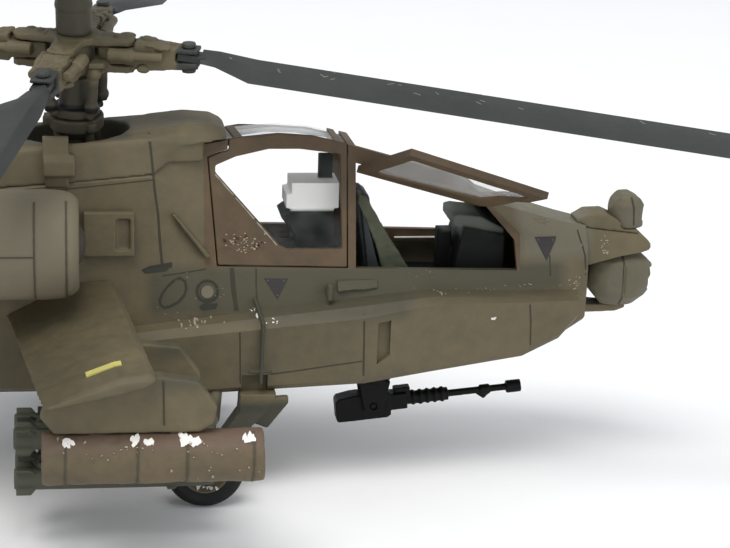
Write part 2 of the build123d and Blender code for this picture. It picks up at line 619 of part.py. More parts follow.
# ---------------------------------------------------------------- small fittings on the sides
def side_fittings(neighbours):
    """Vent boxes on the cowl, panel blisters ahead of the nacelles, knobs and fairings under the doors."""
    vent = slab_x([(-6.2, 38.0), (-7.9, 38.0), (-7.8, 38.9), (-7.0, 41.1), (-6.0, 41.1)], -3.8, -0.9)
    middle_step = slab_x([(-6.2, 36.8), (-8.5, 36.9), (-8.3, 38.5), (-7.7, 39.2), (-6.2, 39.2)], -3.7, -0.2)
    lower_step = slab_x([(-6.2, 35.3), (-7.9, 35.5), (-8.2, 37.0), (-6.2, 37.0)], -3.5, -0.9)
    vent = vent.fuse(middle_step, lower_step).clean()
    blister = block(0.7, 6.4, -8.7, -7.2, 27.6, 32.8)
    blister = blister - block(4.3, 5.9, -9, -8.2, 28.4, 32.0)
    rib = slab_y([(10.6, 32.3), (11.0, 32.3), (15.2, 27.2), (14.6, 27.0)], -7.7, -6.0)
    knob = rod((28.8, -7.4, 23.4), (28.8, -8.9, 23.2), 0.45).fuse(
        rod((28.8, -8.9, 24.2), (28.8, -8.9, 22.2), 0.35)).clean()
    bulge = loft([
        [(29.8, -6.6, 24.5), (29.8, -7.7, 24.1), (29.8, -8.3, 23.1), (29.8, -7.0, 22.7)],
        [(34.6, -6.5, 24.7), (34.6, -7.3, 24.3), (34.6, -7.8, 23.3), (34.6, -7.0, 23.0)],
    ])
    found = []
    for piece in (vent, blister, rib, knob, bulge):
        for s in (piece - neighbours).solids():
            if s.volume > 0.1:
                found += [s, s.mirror(Plane.XZ)]
    return group(*found)


def boarding_steps(neighbours):
    """Grab rod with its crossbar on each cheek bay."""
    points = [(20.2, -8.0, 22.3), (20.9, -11.45, 20.4), (20.7, -11.5, 13.2), (20.7, -10.2, 13.2)]
    rods = [rod(a, b, 0.24) for a, b in zip(points, points[1:])]
    joints = [Pos(*p) * Sphere(0.24) for p in points[1:3]]
    bar = rod((19.3, -11.5, 14.6), (22.1, -11.5, 14.6), 0.2)
    step = rods[0].fuse(*rods[1:], *joints, bar).clean() - neighbours
    step = max(step.solids(), key=lambda s: s.volume)
    return both_sides(step)


def antennas(fuselage):
    """Blade antennas on the boom and under the belly."""
    top = slab_y([(-66.0, 27.4), (-70.0, 33.0), (-72.5, 33.0), (-73.0, 27.2)], -0.3, 0.3)
    belly = slab_y([(-20.0, 13.4), (-24.0, 13.4), (-24.8, 8.6), (-22.8, 8.6)], -0.3, 0.3)
    tail = slab_y([(-132.2, 48.0), (-134.2, 48.0), (-135.4, 51.6), (-134.6, 51.6)], -0.3, 0.3)
    return group(*[main_solid(blade - fuselage) for blade in (top, belly, tail)])


# ---------------------------------------------------------------- rotor
def tilted(shape):
    """Turn a part built about the vertical onto the mast axis."""
    pivot = Vector(0, 0, MAST_PIVOT_Z)
    pitched = shape.rotate(Axis(pivot, Vector(0, 1, 0)), MAST_PITCH)
    return pitched.rotate(Axis(pivot, Vector(1, 0, 0)), MAST_ROLL)


def at_azimuth(shape, index=0):
    return shape.rotate(Axis.Z, ROTOR_AZIMUTH + 360 / BLADES * index)


def ring_of(shape):
    """One copy for each blade."""
    return [at_azimuth(shape, k) for k in range(BLADES)]


SHAFT_RADIUS = 1.0


def static_mast():
    """Fixed tube on its base plate, with four legs that carry the fixed swashplate ring."""
    tube = Pos(0, 0, 35.9) * Cylinder(1.6, 12.6)
    base = Pos(0, 0, 29.9) * Cylinder(4.4, 1.2)
    plate = Pos(0, 0, 41.5) * Cylinder(3.1, 1.5)
    neck = Pos(0, 0, 40.4) * Cone(2.0, 2.7, 1.0)
    body = tube.fuse(base, plate, neck)
    for angle in (35, 125, 215, 305):
        x, y = 2.9 * cos(radians(angle)), 2.9 * sin(radians(angle))
        body = body.fuse(rod((x * 1.25, y * 1.25, 30.2), (x * 0.85, y * 0.85, 41.0), 0.55))
    lugs = []
    for angle in (-60, 60, 180):
        lugs.append(Pos(3.3 * cos(radians(angle)), 3.3 * sin(radians(angle)), 41.6) * Cylinder(0.6, 1.0))
    body = body.fuse(*lugs).clean()
    return tilted(body - Pos(0, 0, 36) * Cylinder(SHAFT_RADIUS + FIT, 40))


def mast_platform(fuselage):
    """Bulkhead shelf inside the fuselage that the static mast stands on."""
    shelf = block(-7.5, 7.5, -7.2, 7.2, 28.2, 29.3)
    return tilted(shelf) - fuselage


def rotor_shaft():
    """Turning shaft with the driving cone and the upper swashplate ring."""
    shaft = Pos(0, 0, 42.8) * Cylinder(SHAFT_RADIUS, 13.4)
    cone = Pos(0, 0, 45.3) * Cone(2.05, 1.65, 3.2)
    plate = Pos(0, 0, 42.95) * Cylinder(2.75, 1.1)
    arms = ring_of(rod((2.4, -2.4, 42.95), (1.4, -1.4, 42.95), 0.5))
    return tilted(shaft.fuse(cone, plate, *arms).clean())


def rotor_hub():
    """Two stacked plates on a barrel, with a forked arm for each blade."""
    barrel = Pos(0, 0, 50.05) * Cylinder(2.2, 4.0)
    lower = Pos(0, 0, 48.4) * Cylinder(3.2, 0.9)
    upper = Pos(0, 0, 51.6) * Cylinder(2.9, 0.9)
    plan = [(1.5, -1.7), (6.4, -1.35), (7.0, -0.7), (7.0, 0.7), (6.4, 1.35), (1.5, 1.7)]
    arms = ring_of(slab_z(plan, 48.0, 48.9)) + ring_of(slab_z(plan, 51.1, 51.9))
    horns = ring_of(slab_z([(2.4, -3.4), (4.0, -3.0), (4.4, -1.2), (2.6, -1.4)], 48.9, 49.6))
    hub = barrel.fuse(lower, upper, *arms, *horns).clean()
    return tilted(hub - (Pos(0, 0, 47) * Cylinder(SHAFT_RADIUS, 5.01)))


def blade_cuffs():
    """Pitch housings between the hub plates and the blade roots, each ending in a fork."""
    cuff = loft([
        [(3.0, -1.1, 49.05), (3.0, 1.1, 49.05), (3.0, 1.1, 50.95), (3.0, -1.1, 50.95)],
        [(7.2, -1.5, 49.0), (7.2, 1.5, 49.0), (7.2, 1.5, 51.0), (7.2, -1.5, 51.0)],
        [(7.3, -1.6, 48.6), (7.3, 1.6, 48.6), (7.3, 1.5, 51.8), (7.3, -1.5, 51.8)],
        [(11.6, -1.35, 48.8), (11.6, 1.35, 48.8), (11.6, 1.25, 51.3), (11.6, -1.25, 51.3)],
        [(14.4, -1.2, 49.0), (14.4, 1.2, 49.0), (14.4, 1.1, 51.2), (14.4, -1.1, 51.2)],
    ])
    groove = block(9.3, 9.5, -3, 3, 51.2, 53)
    cuff = cuff - block(11.9, 16, -2, 2, 49.65, 50.75) - groove - (Pos(13.2, 0, 50) * Cylinder(0.5, 8))
    return group(*[tilted(c) for c in ring_of(cuff)])


def rotor_blade(index):
    """Cambered blade with a necked root, a swept tip and a little droop."""
    def section(r, width, thick, sweep=0.0, lift=0.0):
        return [(r, 0.26 * width - sweep, 50.2 + lift), (r, 0.08 * width - sweep, 50.2 + thick * 0.55),
                (r, -0.25 * width - sweep, 50.2 + thick * 0.4),
                (r, -0.74 * width - sweep, 50.2 - thick * 0.12),
                (r, -0.3 * width - sweep, 50.2 - thick * 0.38),
                (r, 0.08 * width - sweep, 50.2 - thick * 0.45)]
    lug = block(12.1, 15.2, -0.95, 0.95, 49.8, 50.6)
    wing = loft([section(14.7, 2.6, 1.5, sweep=-0.5), section(16.6, 3.4, 1.5, sweep=-0.6),
                 section(21.0, BLADE_CHORD, 1.15), section(94.6, BLADE_CHORD, 1.0),
                 section(ROTOR_RADIUS, 5.6, 0.6, sweep=2.6)])
    hinge = Axis(Vector(13.2, 0, 50.2), Vector(0, 1, 0))
    blade = lug.fuse(wing).clean().rotate(hinge, BLADE_DROOP)
    return tilted(at_azimuth(blade - Pos(13.2, 0, 50) * Cylinder(0.5, 8), index))


def blade_pins():
    """Vertical pins with round heads through the cuff forks and blade lugs."""
    pin = Pos(13.2, 0, 50.1) * Cylinder(0.5, 2.9)
    heads = [Pos(13.2, 0, 51.55) * Cylinder(0.8, 0.5), Pos(13.2, 0, 48.6) * Cylinder(0.8, 0.5)]
    return group(*[tilted(p) for p in ring_of(pin.fuse(*heads).clean())])


def pitch_links(neighbours):
    """Upright links from the upper swashplate ring to the hub horns, with ball ends."""
    link = rod((2.4, -2.4, 43.3), (2.8, -2.5, 49.0), 0.62)
    ends = [Pos(2.4, -2.4, 44.1) * Sphere(0.85), Pos(2.8, -2.5, 48.2) * Sphere(0.85)]
    link = link.fuse(*ends).clean()
    return group(*[main_solid(tilted(k) - neighbours) for k in ring_of(link)])


def lag_dampers(neighbours):
    """A pair of round dampers beside each pitch housing, resting on its flanks."""
    damper = rod((4.4, -2.1, 50.4), (10.6, -1.9, 50.4), 0.55).fuse(
        rod((4.4, -2.1, 50.4), (7.2, -2.0, 50.4), 0.75)).clean()
    pair = ring_of(damper) + ring_of(damper.mirror(Plane.XZ))
    return group(*[main_solid(tilted(d) - neighbours) for d in pair])


def mast_drum():
    """Drum and collar that carry the radome above the hub."""
    profile = [(0, 52.05), (1.95, 52.05), (2.05, 52.4), (2.05, 55.0), (2.15, 55.1), (2.15, 55.6),
               (2.05, 55.7), (2.1, 56.6), (2.7, 58.2), (0, 58.2)]
    return tilted(turned(profile))


def radome():
    """Rounded mast-mounted radome."""
    profile = [(0, 58.2), (3.0, 58.3), (3.0, 59.2), (6.4, 60.2), (8.0, 61.6), (8.3, 63.2), (7.6, 65.2),
               (5.8, 66.6), (3.0, 67.3), (0, 67.5)]
    return tilted(turned(profile))


# ---------------------------------------------------------------- tail
TR_X, TR_Z = TAIL_ROTOR


def tail_gearbox(fuselage):
    case = rod((TR_X, -1.9, TR_Z), (TR_X, 2.6, TR_Z), 2.1).fuse(
        rod((TR_X, 2.6, TR_Z), (TR_X, 3.1, TR_Z), 1.6),
        rod((TR_X, -2.4, TR_Z), (TR_X, -1.9, TR_Z), 1.3)).clean()
    bore = rod((TR_X, 1.7, TR_Z), (TR_X, 6, TR_Z), 0.6 + FIT)
    return max((case - fuselage - bore).solids(), key=lambda s: s.volume)


def tail_rotor_hub():
    """Stub shaft, with two stacked teetering forks."""
    shaft = rod((TR_X, 1.8, TR_Z), (TR_X, 5.6, TR_Z), 0.6)
    disc = rod((TR_X, 3.2, TR_Z), (TR_X, 3.65, TR_Z), 1.3)
    cap = rod((TR_X, 5.6, TR_Z), (TR_X, 6.1, TR_Z), 0.8)
    return shaft.fuse(disc, cap).clean()


TAIL_BLADE_ANGLES = (27.5, -27.5)


def tail_rotor_blades():
    """Two crossed pairs of blades, one pair outboard of the other."""
    found = []
    for angle, y in zip(TAIL_BLADE_ANGLES, (4.1, 5.0)):
        pair = loft([
            [(x, y - t, z), (x, y, z + w), (x, y + t, z), (x, y, z - w)]
            for x, w, t, z in ((-TAIL_ROTOR_RADIUS, 1.5, 0.14, 0), (-4.5, 1.75, 0.3, 0), (-2.0, 0.9, 0.38, 0),
                               (2.0, 0.9, 0.38, 0), (4.5, 1.75, 0.3, 0), (TAIL_ROTOR_RADIUS, 1.5, 0.14, 0))])
        pair = pair - rod((0, 0, 0), (0, 9, 0), 0.6)
        pair = Pos(TR_X, 0, TR_Z) * pair.rotate(Axis.Y, angle)
        found.append(pair)
    return group(*found)


STAB_X, STAB_Z = -130.2, 19.4
FIN_HALF = 1.5


def stabilator():
    """Two tailplane panels on one spar that turns in the fin base."""
    half = loft([
        [(x0, y, STAB_Z), (x0 - 1.5, y, STAB_Z + t), (x1, y, STAB_Z + 0.1), (x1, y, STAB_Z - 0.1),
         (x0 - 1.5, y, STAB_Z - t)]
        for y, x0, x1, t in ((FIN_HALF + 0.2, -128.9, -139.6, 0.75), (23.6, -129.4, -138.6, 0.45))])
    tip = slab_y([(-129.2, STAB_Z + 0.9), (-139.0, STAB_Z + 0.7), (-138.8, STAB_Z - 0.7),
                  (-129.4, STAB_Z - 0.8)],
                 23.2, 23.6)
    panel = half.fuse(tip).clean()
    spar = rod((STAB_X, -3, STAB_Z), (STAB_X, 3, STAB_Z), 0.5)
    return panel.fuse(panel.mirror(Plane.XZ), spar).clean()


def stabilator_bore():
    return rod((STAB_X, -4, STAB_Z), (STAB_X, 4, STAB_Z), 0.5 + FIT)


TAIL_PIVOT_X = -130.6


def tail_leg(fuselage):
    """Fixed tail strut with the swivel socket at its lower end."""
    strut = rod((-127.0, 0, 19.5), (TAIL_PIVOT_X, 0, 7.4), 0.95)
    boss = rod((TAIL_PIVOT_X, 0, 6.1), (TAIL_PIVOT_X, 0, 8.4), 1.15)
    brace = rod((-132.2, 0, 18.6), (TAIL_PIVOT_X - 0.2, 0, 9.0), 0.5)
    leg = strut.fuse(boss, brace).clean() - rod((TAIL_PIVOT_X, 0, 5), (TAIL_PIVOT_X, 0, 8.0), 0.55 + FIT)
    return max((leg - fuselage).solids(), key=lambda s: s.volume)


def tail_fork():
    """Swivelling fork with its stem and axle."""
    stem = rod((TAIL_PIVOT_X, 0, 5.6), (TAIL_PIVOT_X, 0, 7.9), 0.55)
    crown = block(TAIL_PIVOT_X - 1.3, TAIL_PIVOT_X + 0.7, -1.6, 1.6, 5.3, 6.0)
    prongs = []
    for side in (-1, 1):
        prongs.append(slab_y([(TAIL_PIVOT_X + 0.7, 5.9), (TAIL_PIVOT_X - 1.3, 5.9), (TAIL_WHEEL_X - 0.7, 2.6),
                              (TAIL_WHEEL_X - 0.4, 1.9), (TAIL_WHEEL_X + 0.5, 1.9)],
                             min(side * 1.2, side * 1.6), max(side * 1.2, side * 1.6)))
    axle = rod((TAIL_WHEEL_X, -1.4, TAIL_WHEEL_RADIUS), (TAIL_WHEEL_X, 1.4, TAIL_WHEEL_RADIUS), 0.45)
    return stem.fuse(crown, *prongs, axle).clean()


def wheel_profile(radius, half_width, bore):
    return [(bore, -half_width * 0.8), (radius * 0.66, -half_width * 0.8), (radius * 0.8, -half_width),
            (radius * 0.95, -half_width * 0.72), (radius, -half_width * 0.3), (radius, half_width * 0.3),
            (radius * 0.95, half_width * 0.72), (radius * 0.8, half_width), (radius * 0.66, half_width * 0.8),
            (bore, half_width * 0.8)]


def across(x, y, z):
    """Plane whose vertical axis lies along y, for wheels."""
    return Plane(origin=(x, y, z), x_dir=(1, 0, 0), z_dir=(0, 0, -1))


def tail_tyre():
    profile = wheel_profile(TAIL_WHEEL_RADIUS, 0.95, 0.45 + FIT)
    return turned(profile, across(TAIL_WHEEL_X, 0, TAIL_WHEEL_RADIUS))


# ---------------------------------------------------------------- main landing gear
RIM_RADIUS = 2.75
AXLE_RADIUS = 0.7


def main_tyre():
    profile = wheel_profile(WHEEL_RADIUS, WHEEL_WIDTH / 2, RIM_RADIUS)
    tyre = turned(profile, across(WHEEL_X, -WHEEL_Y, WHEEL_RADIUS))
    return tyre


def main_rim():
    """Dished rim with a hub boss and eight holes."""
    w = WHEEL_WIDTH / 2
    half = [(AXLE_RADIUS + FIT, 0.7), (1.4, 0.7), (1.5, 0.3), (2.2, 0.3), (RIM_RADIUS - 0.2, 0.8),
            (RIM_RADIUS, 0.8)]
    profile = [(r, -w * h) for r, h in half] + [(r, w * h) for r, h in reversed(half)]
    rim = turned(profile, across(WHEEL_X, -WHEEL_Y, WHEEL_RADIUS))
    for k in range(8):
        a = radians(k * 45)
        x, z = WHEEL_X + 1.9 * cos(a), WHEEL_RADIUS + 1.9 * sin(a)
        rim = rim - rod((x, -WHEEL_Y - 2, z), (x, -WHEEL_Y + 2, z), 0.24)
    return rim


def main_leg(neighbours):
    """Trailing arm from the fuselage side to the axle, with its step plate and axle nut."""
    arm = loft([
        [(18.4, -8.4, 11.8), (22.6, -8.4, 11.8), (22.6, -11.6, 11.8), (18.4, -11.6, 11.8)],
        [(18.2, -8.9, 9.6), (21.4, -8.9, 9.6), (21.4, -11.6, 9.6), (18.2, -11.6, 9.6)],
        [(13.4, -11.4, 3.9), (15.3, -11.4, 3.9), (15.3, -13.2, 3.9), (13.4, -13.2, 3.9)],
    ])
    step = slab_y([(20.6, 11.2), (24.0, 11.4), (24.0, 10.6), (21.6, 7.6), (19.6, 8.4)], -11.4, -10.4)
    hub = rod((WHEEL_X, -11.5, WHEEL_RADIUS), (WHEEL_X, -13.6, WHEEL_RADIUS), 1.2)
    axle = rod((WHEEL_X, -13.0, WHEEL_RADIUS), (WHEEL_X, -17.0, WHEEL_RADIUS), AXLE_RADIUS)
    nut = rod((WHEEL_X, -16.7, WHEEL_RADIUS), (WHEEL_X, -17.3, WHEEL_RADIUS), 0.95)
    leg = arm.fuse(step, hub, axle, nut).clean() - neighbours
    return max(leg.solids(), key=lambda s: s.volume)


def shock_strut(neighbours):
    """Two-stage strut from the fuselage side down to the trailing arm."""
    upper = rod((15.6, -9.6, 11.6), (15.2, -11.2, 8.6), 0.85)
    lower = rod((15.2, -11.2, 8.6), (14.8, -12.6, 5.9), 0.55)
    strut = upper.fuse(lower).clean() - neighbours
    return max(strut.solids(), key=lambda s: s.volume)


# ---------------------------------------------------------------- wings and stores
def aerofoil(y, nose, tail, thick):
    """Six-point wing section between its nose and tail points."""
    (xn, zn), (xt, zt) = nose, tail
    length = hypot(xn - xt, zn - zt)
    ux, uz = (xt - xn) / length, (zt - zn) / length

    def at(share, lift):
        return (xn + ux * length * share + uz * lift, y, zn + uz * length * share - ux * lift)
    upper = [at(0, 0), at(0.06, thick * 0.42), at(0.3, thick * 0.6), at(0.65, thick * 0.4), at(1, 0.12)]
    lower = [at(1, -0.12), at(0.65, -thick * 0.25), at(0.3, -thick * 0.4), at(0.06, -thick * 0.34)]
    return upper + lower


def wing(neighbours):
    panel = loft([
        aerofoil(-6.5, (4.4, 23.6), (-8.4, 20.6), 3.2),
        aerofoil(-11.0, (5.0, 23.4), (-7.6, 20.5), 2.9),
        aerofoil(-WING_TIP_Y + 0.7, (8.0, 22.3), (-3.7, 19.3), 1.8),
        aerofoil(-WING_TIP_Y, (7.3, 22.1), (-3.2, 19.45), 0.9),
    ])
    return max((panel - neighbours).solids(), key=lambda s: s.volume)


def pylon(y, outline, width, neighbours):
    body = slab_y(outline, y - width / 2, y + width / 2)
    return max((body - neighbours).solids(), key=lambda s: s.volume)


POD_TOP = POD_Z + POD_RADIUS + 0.1
OUTER_PYLON = [(-3.2, 20.0), (3.0, 22.2), (8.6, 21.8), (12.2, 21.2), (14.2, 18.4), (13.9, 16.6),
               (12.4, POD_TOP),
               (-2.6, POD_TOP), (-4.0, 17.6)]
INNER_PYLON = [(-3.6, 20.2), (3.0, 22.4), (8.0, 21.8), (10.9, 21.5), (13.1, 18.3), (12.9, 16.6), (11.6, 15.4),
               (-3.2, 15.4), (-4.6, 17.4)]


def rocket_pod():
    """Nineteen-tube pod with end bands, carried on two lugs."""
    r = POD_RADIUS
    body = rod((POD_REAR, -OUTER_PYLON_Y, POD_Z), (POD_FRONT, -OUTER_PYLON_Y, POD_Z), r - 0.06)
    bands = []
    for x0, x1 in ((POD_REAR + 0.4, POD_REAR + 2.4), (4.2, 8.6), (POD_FRONT - 2.0, POD_FRONT - 0.3)):
        bands.append(rod((x0, -OUTER_PYLON_Y, POD_Z), (x1, -OUTER_PYLON_Y, POD_Z), r))
    lugs = [block(x, x + 1.4, -OUTER_PYLON_Y - 0.5, -OUTER_PYLON_Y + 0.5, POD_Z + r - 0.5, POD_Z + r + 0.1)
            for x in (1.0, 9.4)]
    pod = body.fuse(*bands, *lugs).clean()
    places = [(0.0, 0.0)]
    for count, radius in ((6, 1.05), (12, 2.08)):
        places += [(radius * cos(radians(360 / count * k + 15)), radius * sin(radians(360 / count * k + 15)))
                   for k in range(count)]
    for dy, dz in places:
        for x0, x1 in ((POD_REAR - 1, POD_REAR + 1.2), (POD_FRONT - 1.6, POD_FRONT + 1)):
            y, z = dy - OUTER_PYLON_Y, POD_Z + dz
            pod = pod - rod((x0, y, z), (x1, y, z), 0.36)
    return pod


MISSILE_DY = 2.25
MISSILE_ZS = (11.9, 7.3)


def missile_rack():
    """Four-rail launcher: a central beam with a cross arm and rails."""
    y = -INNER_PYLON_Y
    beam = slab_y([(-2.5, 15.4), (10.5, 15.4), (10.0, 8.6), (-1.5, 8.6)], y - 0.45, y + 0.45)
    rails = []
    for z in MISSILE_ZS:
        top = z + MISSILE_RADIUS
        rails.append(block(-3.5, 12.0, y - MISSILE_DY - 0.5, y + MISSILE_DY + 0.5, top + 0.5, top + 1.0))
        for cy in (y - MISSILE_DY, y + MISSILE_DY):
            rails.append(block(-4.5, 13.0, cy - 0.4, cy + 0.4, top - 0.05, top + 0.7))
    return beam.fuse(*rails).clean()


def missile():
    """Round body with a domed nose and four tail and four middle fins."""
    r = MISSILE_RADIUS
    x0, x1 = MISSILE_REAR, MISSILE_REAR + MISSILE_LENGTH
    profile = [(x0, 0), (x0, r * 0.9), (x0 + 0.3, r), (x1 - 2.2, r), (x1 - 1.2, r * 0.85),
               (x1 - 0.4, r * 0.5), (x1, 0)]
    face = Face(Wire.make_polygon([Vector(x, 0, h) for x, h in profile], close=True))
    body = Solid.revolve(face, 360, Axis.X)
    for a in (45, 135, 225, 315):
        fin_rear = slab_y([(x0 + 0.2, 0), (x0 + 3.4, 0), (x0 + 1.8, r + 0.75), (x0 + 0.2, r + 0.75)],
                          -0.12, 0.12)
        fin_front = slab_y([(x1 - 6.2, 0), (x1 - 3.4, 0), (x1 - 5.2, r + 0.4), (x1 - 6.0, r + 0.4)],
                           -0.1, 0.1)
        body = body.fuse(fin_rear.rotate(Axis.X, a), fin_front.rotate(Axis.X, a))
    return body.clean()


def missiles(rack):
    found = []
    for z in MISSILE_ZS:
        for side in (-1, 1):
            found.append((Pos(0, -INNER_PYLON_Y + side * MISSILE_DY, z) * missile()) - rack)
    return group(*found)


# ---------------------------------------------------------------- gun
TURRET_TOP = 12.1


def gun_socket():
    return rod((GUN_X, 0, TURRET_TOP - 1), (GUN_X, 0, 14.5), 0.7 + FIT)


def gun_turret():
    """Azimuth head with a pivot stub above and two yoke arms below."""
    head = rod((GUN_X, 0, 9.6), (GUN_X, 0, TURRET_TOP), 2.3)
    stub = rod((GUN_X, 0, TURRET_TOP - 0.1), (GUN_X, 0, 13.6), 0.7)
    arms = both_sides(slab_y([(GUN_X - 1.9, 9.8), (GUN_X + 2.0, 9.8), (GUN_X + 1.2, 5.9), (GUN_X - 1.1, 5.9)],
                             -2.05, -1.5))
    head = head.fuse(stub, *arms.solids()).clean()
    return head - rod((GUN_X, -3, GUN_PIVOT_Z), (GUN_X, 3, GUN_PIVOT_Z), 0.4 + FIT)


def gun():
    """Receiver with its feeder, recoil sleeve, barrel and muzzle brake, level before it is raised."""
    z = 6.5
    receiver = slab_y([(30.9, 4.9), (31.2, 4.7), (37.1, 4.7), (37.6, 5.0), (37.6, 7.9), (33.0, 7.9),
                       (31.2, 7.6), (30.9, 7.2)], -1.3, 1.3)
    feeder = block(37.6, 39.7, -1.1, 1.1, 5.5, 7.5)
    cradle = block(38.2, 40.2, -0.7, 0.7, 6.9, 8.1)
    sleeve = rod((39.7, 0, z), (44.9, 0, z), 0.8)
    ribs = [rod((x, 0, z), (x + 0.3, 0, z), 0.95) for x in (40.4, 41.3, 42.2, 43.1, 44.0)]
    barrel = rod((44.0, 0, z), (52.5, 0, z), 0.42)
    collar = rod((48.9, 0, z), (50.1, 0, z), 0.62)
    sight = slab_y([(48.2, z - 0.3), (50.4, z - 0.3), (49.3, z - 1.2)], -0.15, 0.15)
    brake = rod((52.2, 0, z), (54.0, 0, z), 0.78)
    trunnion = rod((GUN_X, -2.0, GUN_PIVOT_Z), (GUN_X, 2.0, GUN_PIVOT_Z), 0.4)
    body = receiver.fuse(feeder, cradle, sleeve, *ribs, barrel, collar, sight, brake, trunnion).clean()
    body = body - rod((52.8, 0, z), (55, 0, z), 0.3)
    return body.rotate(Axis(Vector(GUN_X, 0, GUN_PIVOT_Z), Vector(0, -1, 0)), GUN_RISE)


# ---------------------------------------------------------------- assembly
def airframe():
    """Fixed parts, each cut where it meets the ones before it."""
    shell = airframe_shell()
    skin = rear_outer().fuse(lower_outer()).clean()
    cheek = cheek_bay(skin)
    nose = nose_cowl()
    frame, glass = canopy_parts()
    cowl = transmission_cowl(shell, canopy_skin())
    body = shell.fuse(cheek, cowl)
    pod_body = nacelle(body)
    seats = {"pilot_seat": seat(*PILOT_SEAT), "gunner_seat": seat(*GUNNER_SEAT)}
    wing_panel = wing(body)
    rack = missile_rack()
    leg = main_leg(body)
    pylon_set = [pylon(-OUTER_PYLON_Y, OUTER_PYLON, 2.0, wing_panel),
                 pylon(-INNER_PYLON_Y, INNER_PYLON, 1.8, wing_panel)]
    fittings = side_fittings(body.fuse(canopy_skin()))
    mast = main_solid(static_mast() - shell)
    return {
        "fuselage_right_half": half_of(shell, -1),
        "fuselage_left_half": half_of(shell, 1),
        "cheek_bay_right": group(cheek),
        "cheek_bay_left": port(cheek),
        "nose_cowl": nose,
        "sensor_mounts": group(main_solid(sensor_bracket() - shell), night_sensor_housing(nose)),
        "canopy_frame": frame,
        "canopy_glass": glass,
        "cockpit_tub": cockpit_tub(),
        **seats,
        "seat_harnesses": seat_harnesses(seats["pilot_seat"].fuse(seats["gunner_seat"])),
        "pilot_console": group(pilot_console(), pilot_display()),
        "gunner_console": gunner_console() - cockpit_tub(),
        "transmission_cowl": cowl,
        "nacelles": both_sides(pod_body),
        "intake_plugs": both_sides(intake_plug() - pod_body),
        "exhausts": both_sides(exhaust(pod_body)),
        "side_fittings": group(fittings, antennas(shell)),
        "boarding_steps": boarding_steps(body),
        "static_mast": group(mast, main_solid(mast_platform(shell) - mast)),
        "tail_gearbox": tail_gearbox(shell),
        "tail_leg": tail_leg(shell),
        "main_legs": both_sides(leg),
        "shock_struts": both_sides(shock_strut(body.fuse(leg))),
        "wing_right": group(wing_panel),
        "wing_left": port(wing_panel),
        "pylons": both_sides(group(*pylon_set)),
        "rocket_pods": both_sides(rocket_pod()),
        "missile_racks": both_sides(rack),
        "missiles": both_sides(missiles(rack)),
    }


def main_rotor():
    shaft, hub, cuffs, pins = rotor_shaft(), rotor_hub(), blade_cuffs(), blade_pins()
    solids = shaft.fuse(hub, *cuffs.solids())
    blades = {f"rotor_blade_{k + 1}": rotor_blade(k) for k in range(BLADES)}
    return {
        "rotor_shaft": shaft,
        "rotor_hub": hub - cuffs,
        "blade_cuffs": cuffs,
        **blades,
        "blade_pins": pins,
        "pitch_links": pitch_links(solids),
        "lag_dampers": lag_dampers(solids),
        "mast_drum": mast_drum(),
        "radome": radome(),
    }


def wheels():
    tyre, rim = main_tyre(), main_rim()
    return {
        "wheel_right": {"main_tyre_right": tyre, "main_rim_right": rim},
        "wheel_left": {"main_tyre_left": port(tyre), "main_rim_left": port(rim)},
    }


def doors():
    rear_frame, rear_pane = door(REAR_DOOR, REAR_WINDOW)
    front_frame, front_pane = door(FRONT_DOOR, FRONT_WINDOW)
    return {
        "rear_door": {"rear_door_frame": rear_frame, "rear_door_glass": rear_pane},
        "front_door": {"front_door_frame": opened(front_frame), "front_door_glass": opened(front_pane)},
    }


def model():
    """All nodes by body, at stations from the mast."""
    return {
        "airframe": airframe(),
        "main_rotor": main_rotor(),
        "tail_rotor": {"tail_rotor_hub": tail_rotor_hub(), "tail_rotor_blades": tail_rotor_blades()},
        **wheels(),
        "tail_swivel": {"tail_fork": tail_fork()},
        "tail_wheel": {"tail_tyre": tail_tyre()},
        "tailplane": {"stabilator": stabilator()},
        "gun_mount": {"gun_turret": gun_turret()},
        "gun_arm": {"gun": gun()},
        "day_sensor": {"sensor_turret": sensor_turret()},
        "night_sight": {"night_sensor": night_sensor()},
        **doors(),
    }


def middle(bodies):
    """Place on the floor under the middle of the whole model, which becomes the origin."""
    boxes = [shape.bounding_box() for nodes in bodies.values() for shape in nodes.values()]
    low = [min(b.min.X for b in boxes), min(b.min.Y for b in boxes)]
    high = [max(b.max.X for b in boxes), max(b.max.Y for b in boxes)]
    return Vector((low[0] + high[0]) / 2, (low[1] + high[1]) / 2, 0)


BODIES = model()
ORIGIN = middle(BODIES)
NODES = {name: Location(-ORIGIN) * shape for nodes in BODIES.values() for name, shape in nodes.items()}
os.makedirs("parts", exist_ok=True)
for node_name, node_shape in NODES.items():
    export_step(node_shape, f"parts/{node_name}.step")
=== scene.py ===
import json
import math
import random

import bmesh
import bpy
from mathutils import Matrix, Vector
from mathutils.bvhtree import BVHTree


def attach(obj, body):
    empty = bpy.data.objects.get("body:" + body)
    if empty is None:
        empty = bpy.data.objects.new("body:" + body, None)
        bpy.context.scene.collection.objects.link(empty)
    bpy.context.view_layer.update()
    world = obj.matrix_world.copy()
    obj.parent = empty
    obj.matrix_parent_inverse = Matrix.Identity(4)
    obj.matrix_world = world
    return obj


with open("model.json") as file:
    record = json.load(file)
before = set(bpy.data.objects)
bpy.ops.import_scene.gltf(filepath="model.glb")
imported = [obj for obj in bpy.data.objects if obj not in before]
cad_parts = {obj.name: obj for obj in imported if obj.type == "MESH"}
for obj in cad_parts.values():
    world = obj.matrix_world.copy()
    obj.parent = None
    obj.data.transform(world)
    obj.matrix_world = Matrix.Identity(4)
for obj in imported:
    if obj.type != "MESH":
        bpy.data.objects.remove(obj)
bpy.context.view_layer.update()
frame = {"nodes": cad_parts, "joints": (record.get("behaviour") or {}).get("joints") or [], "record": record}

NODES = frame["nodes"]
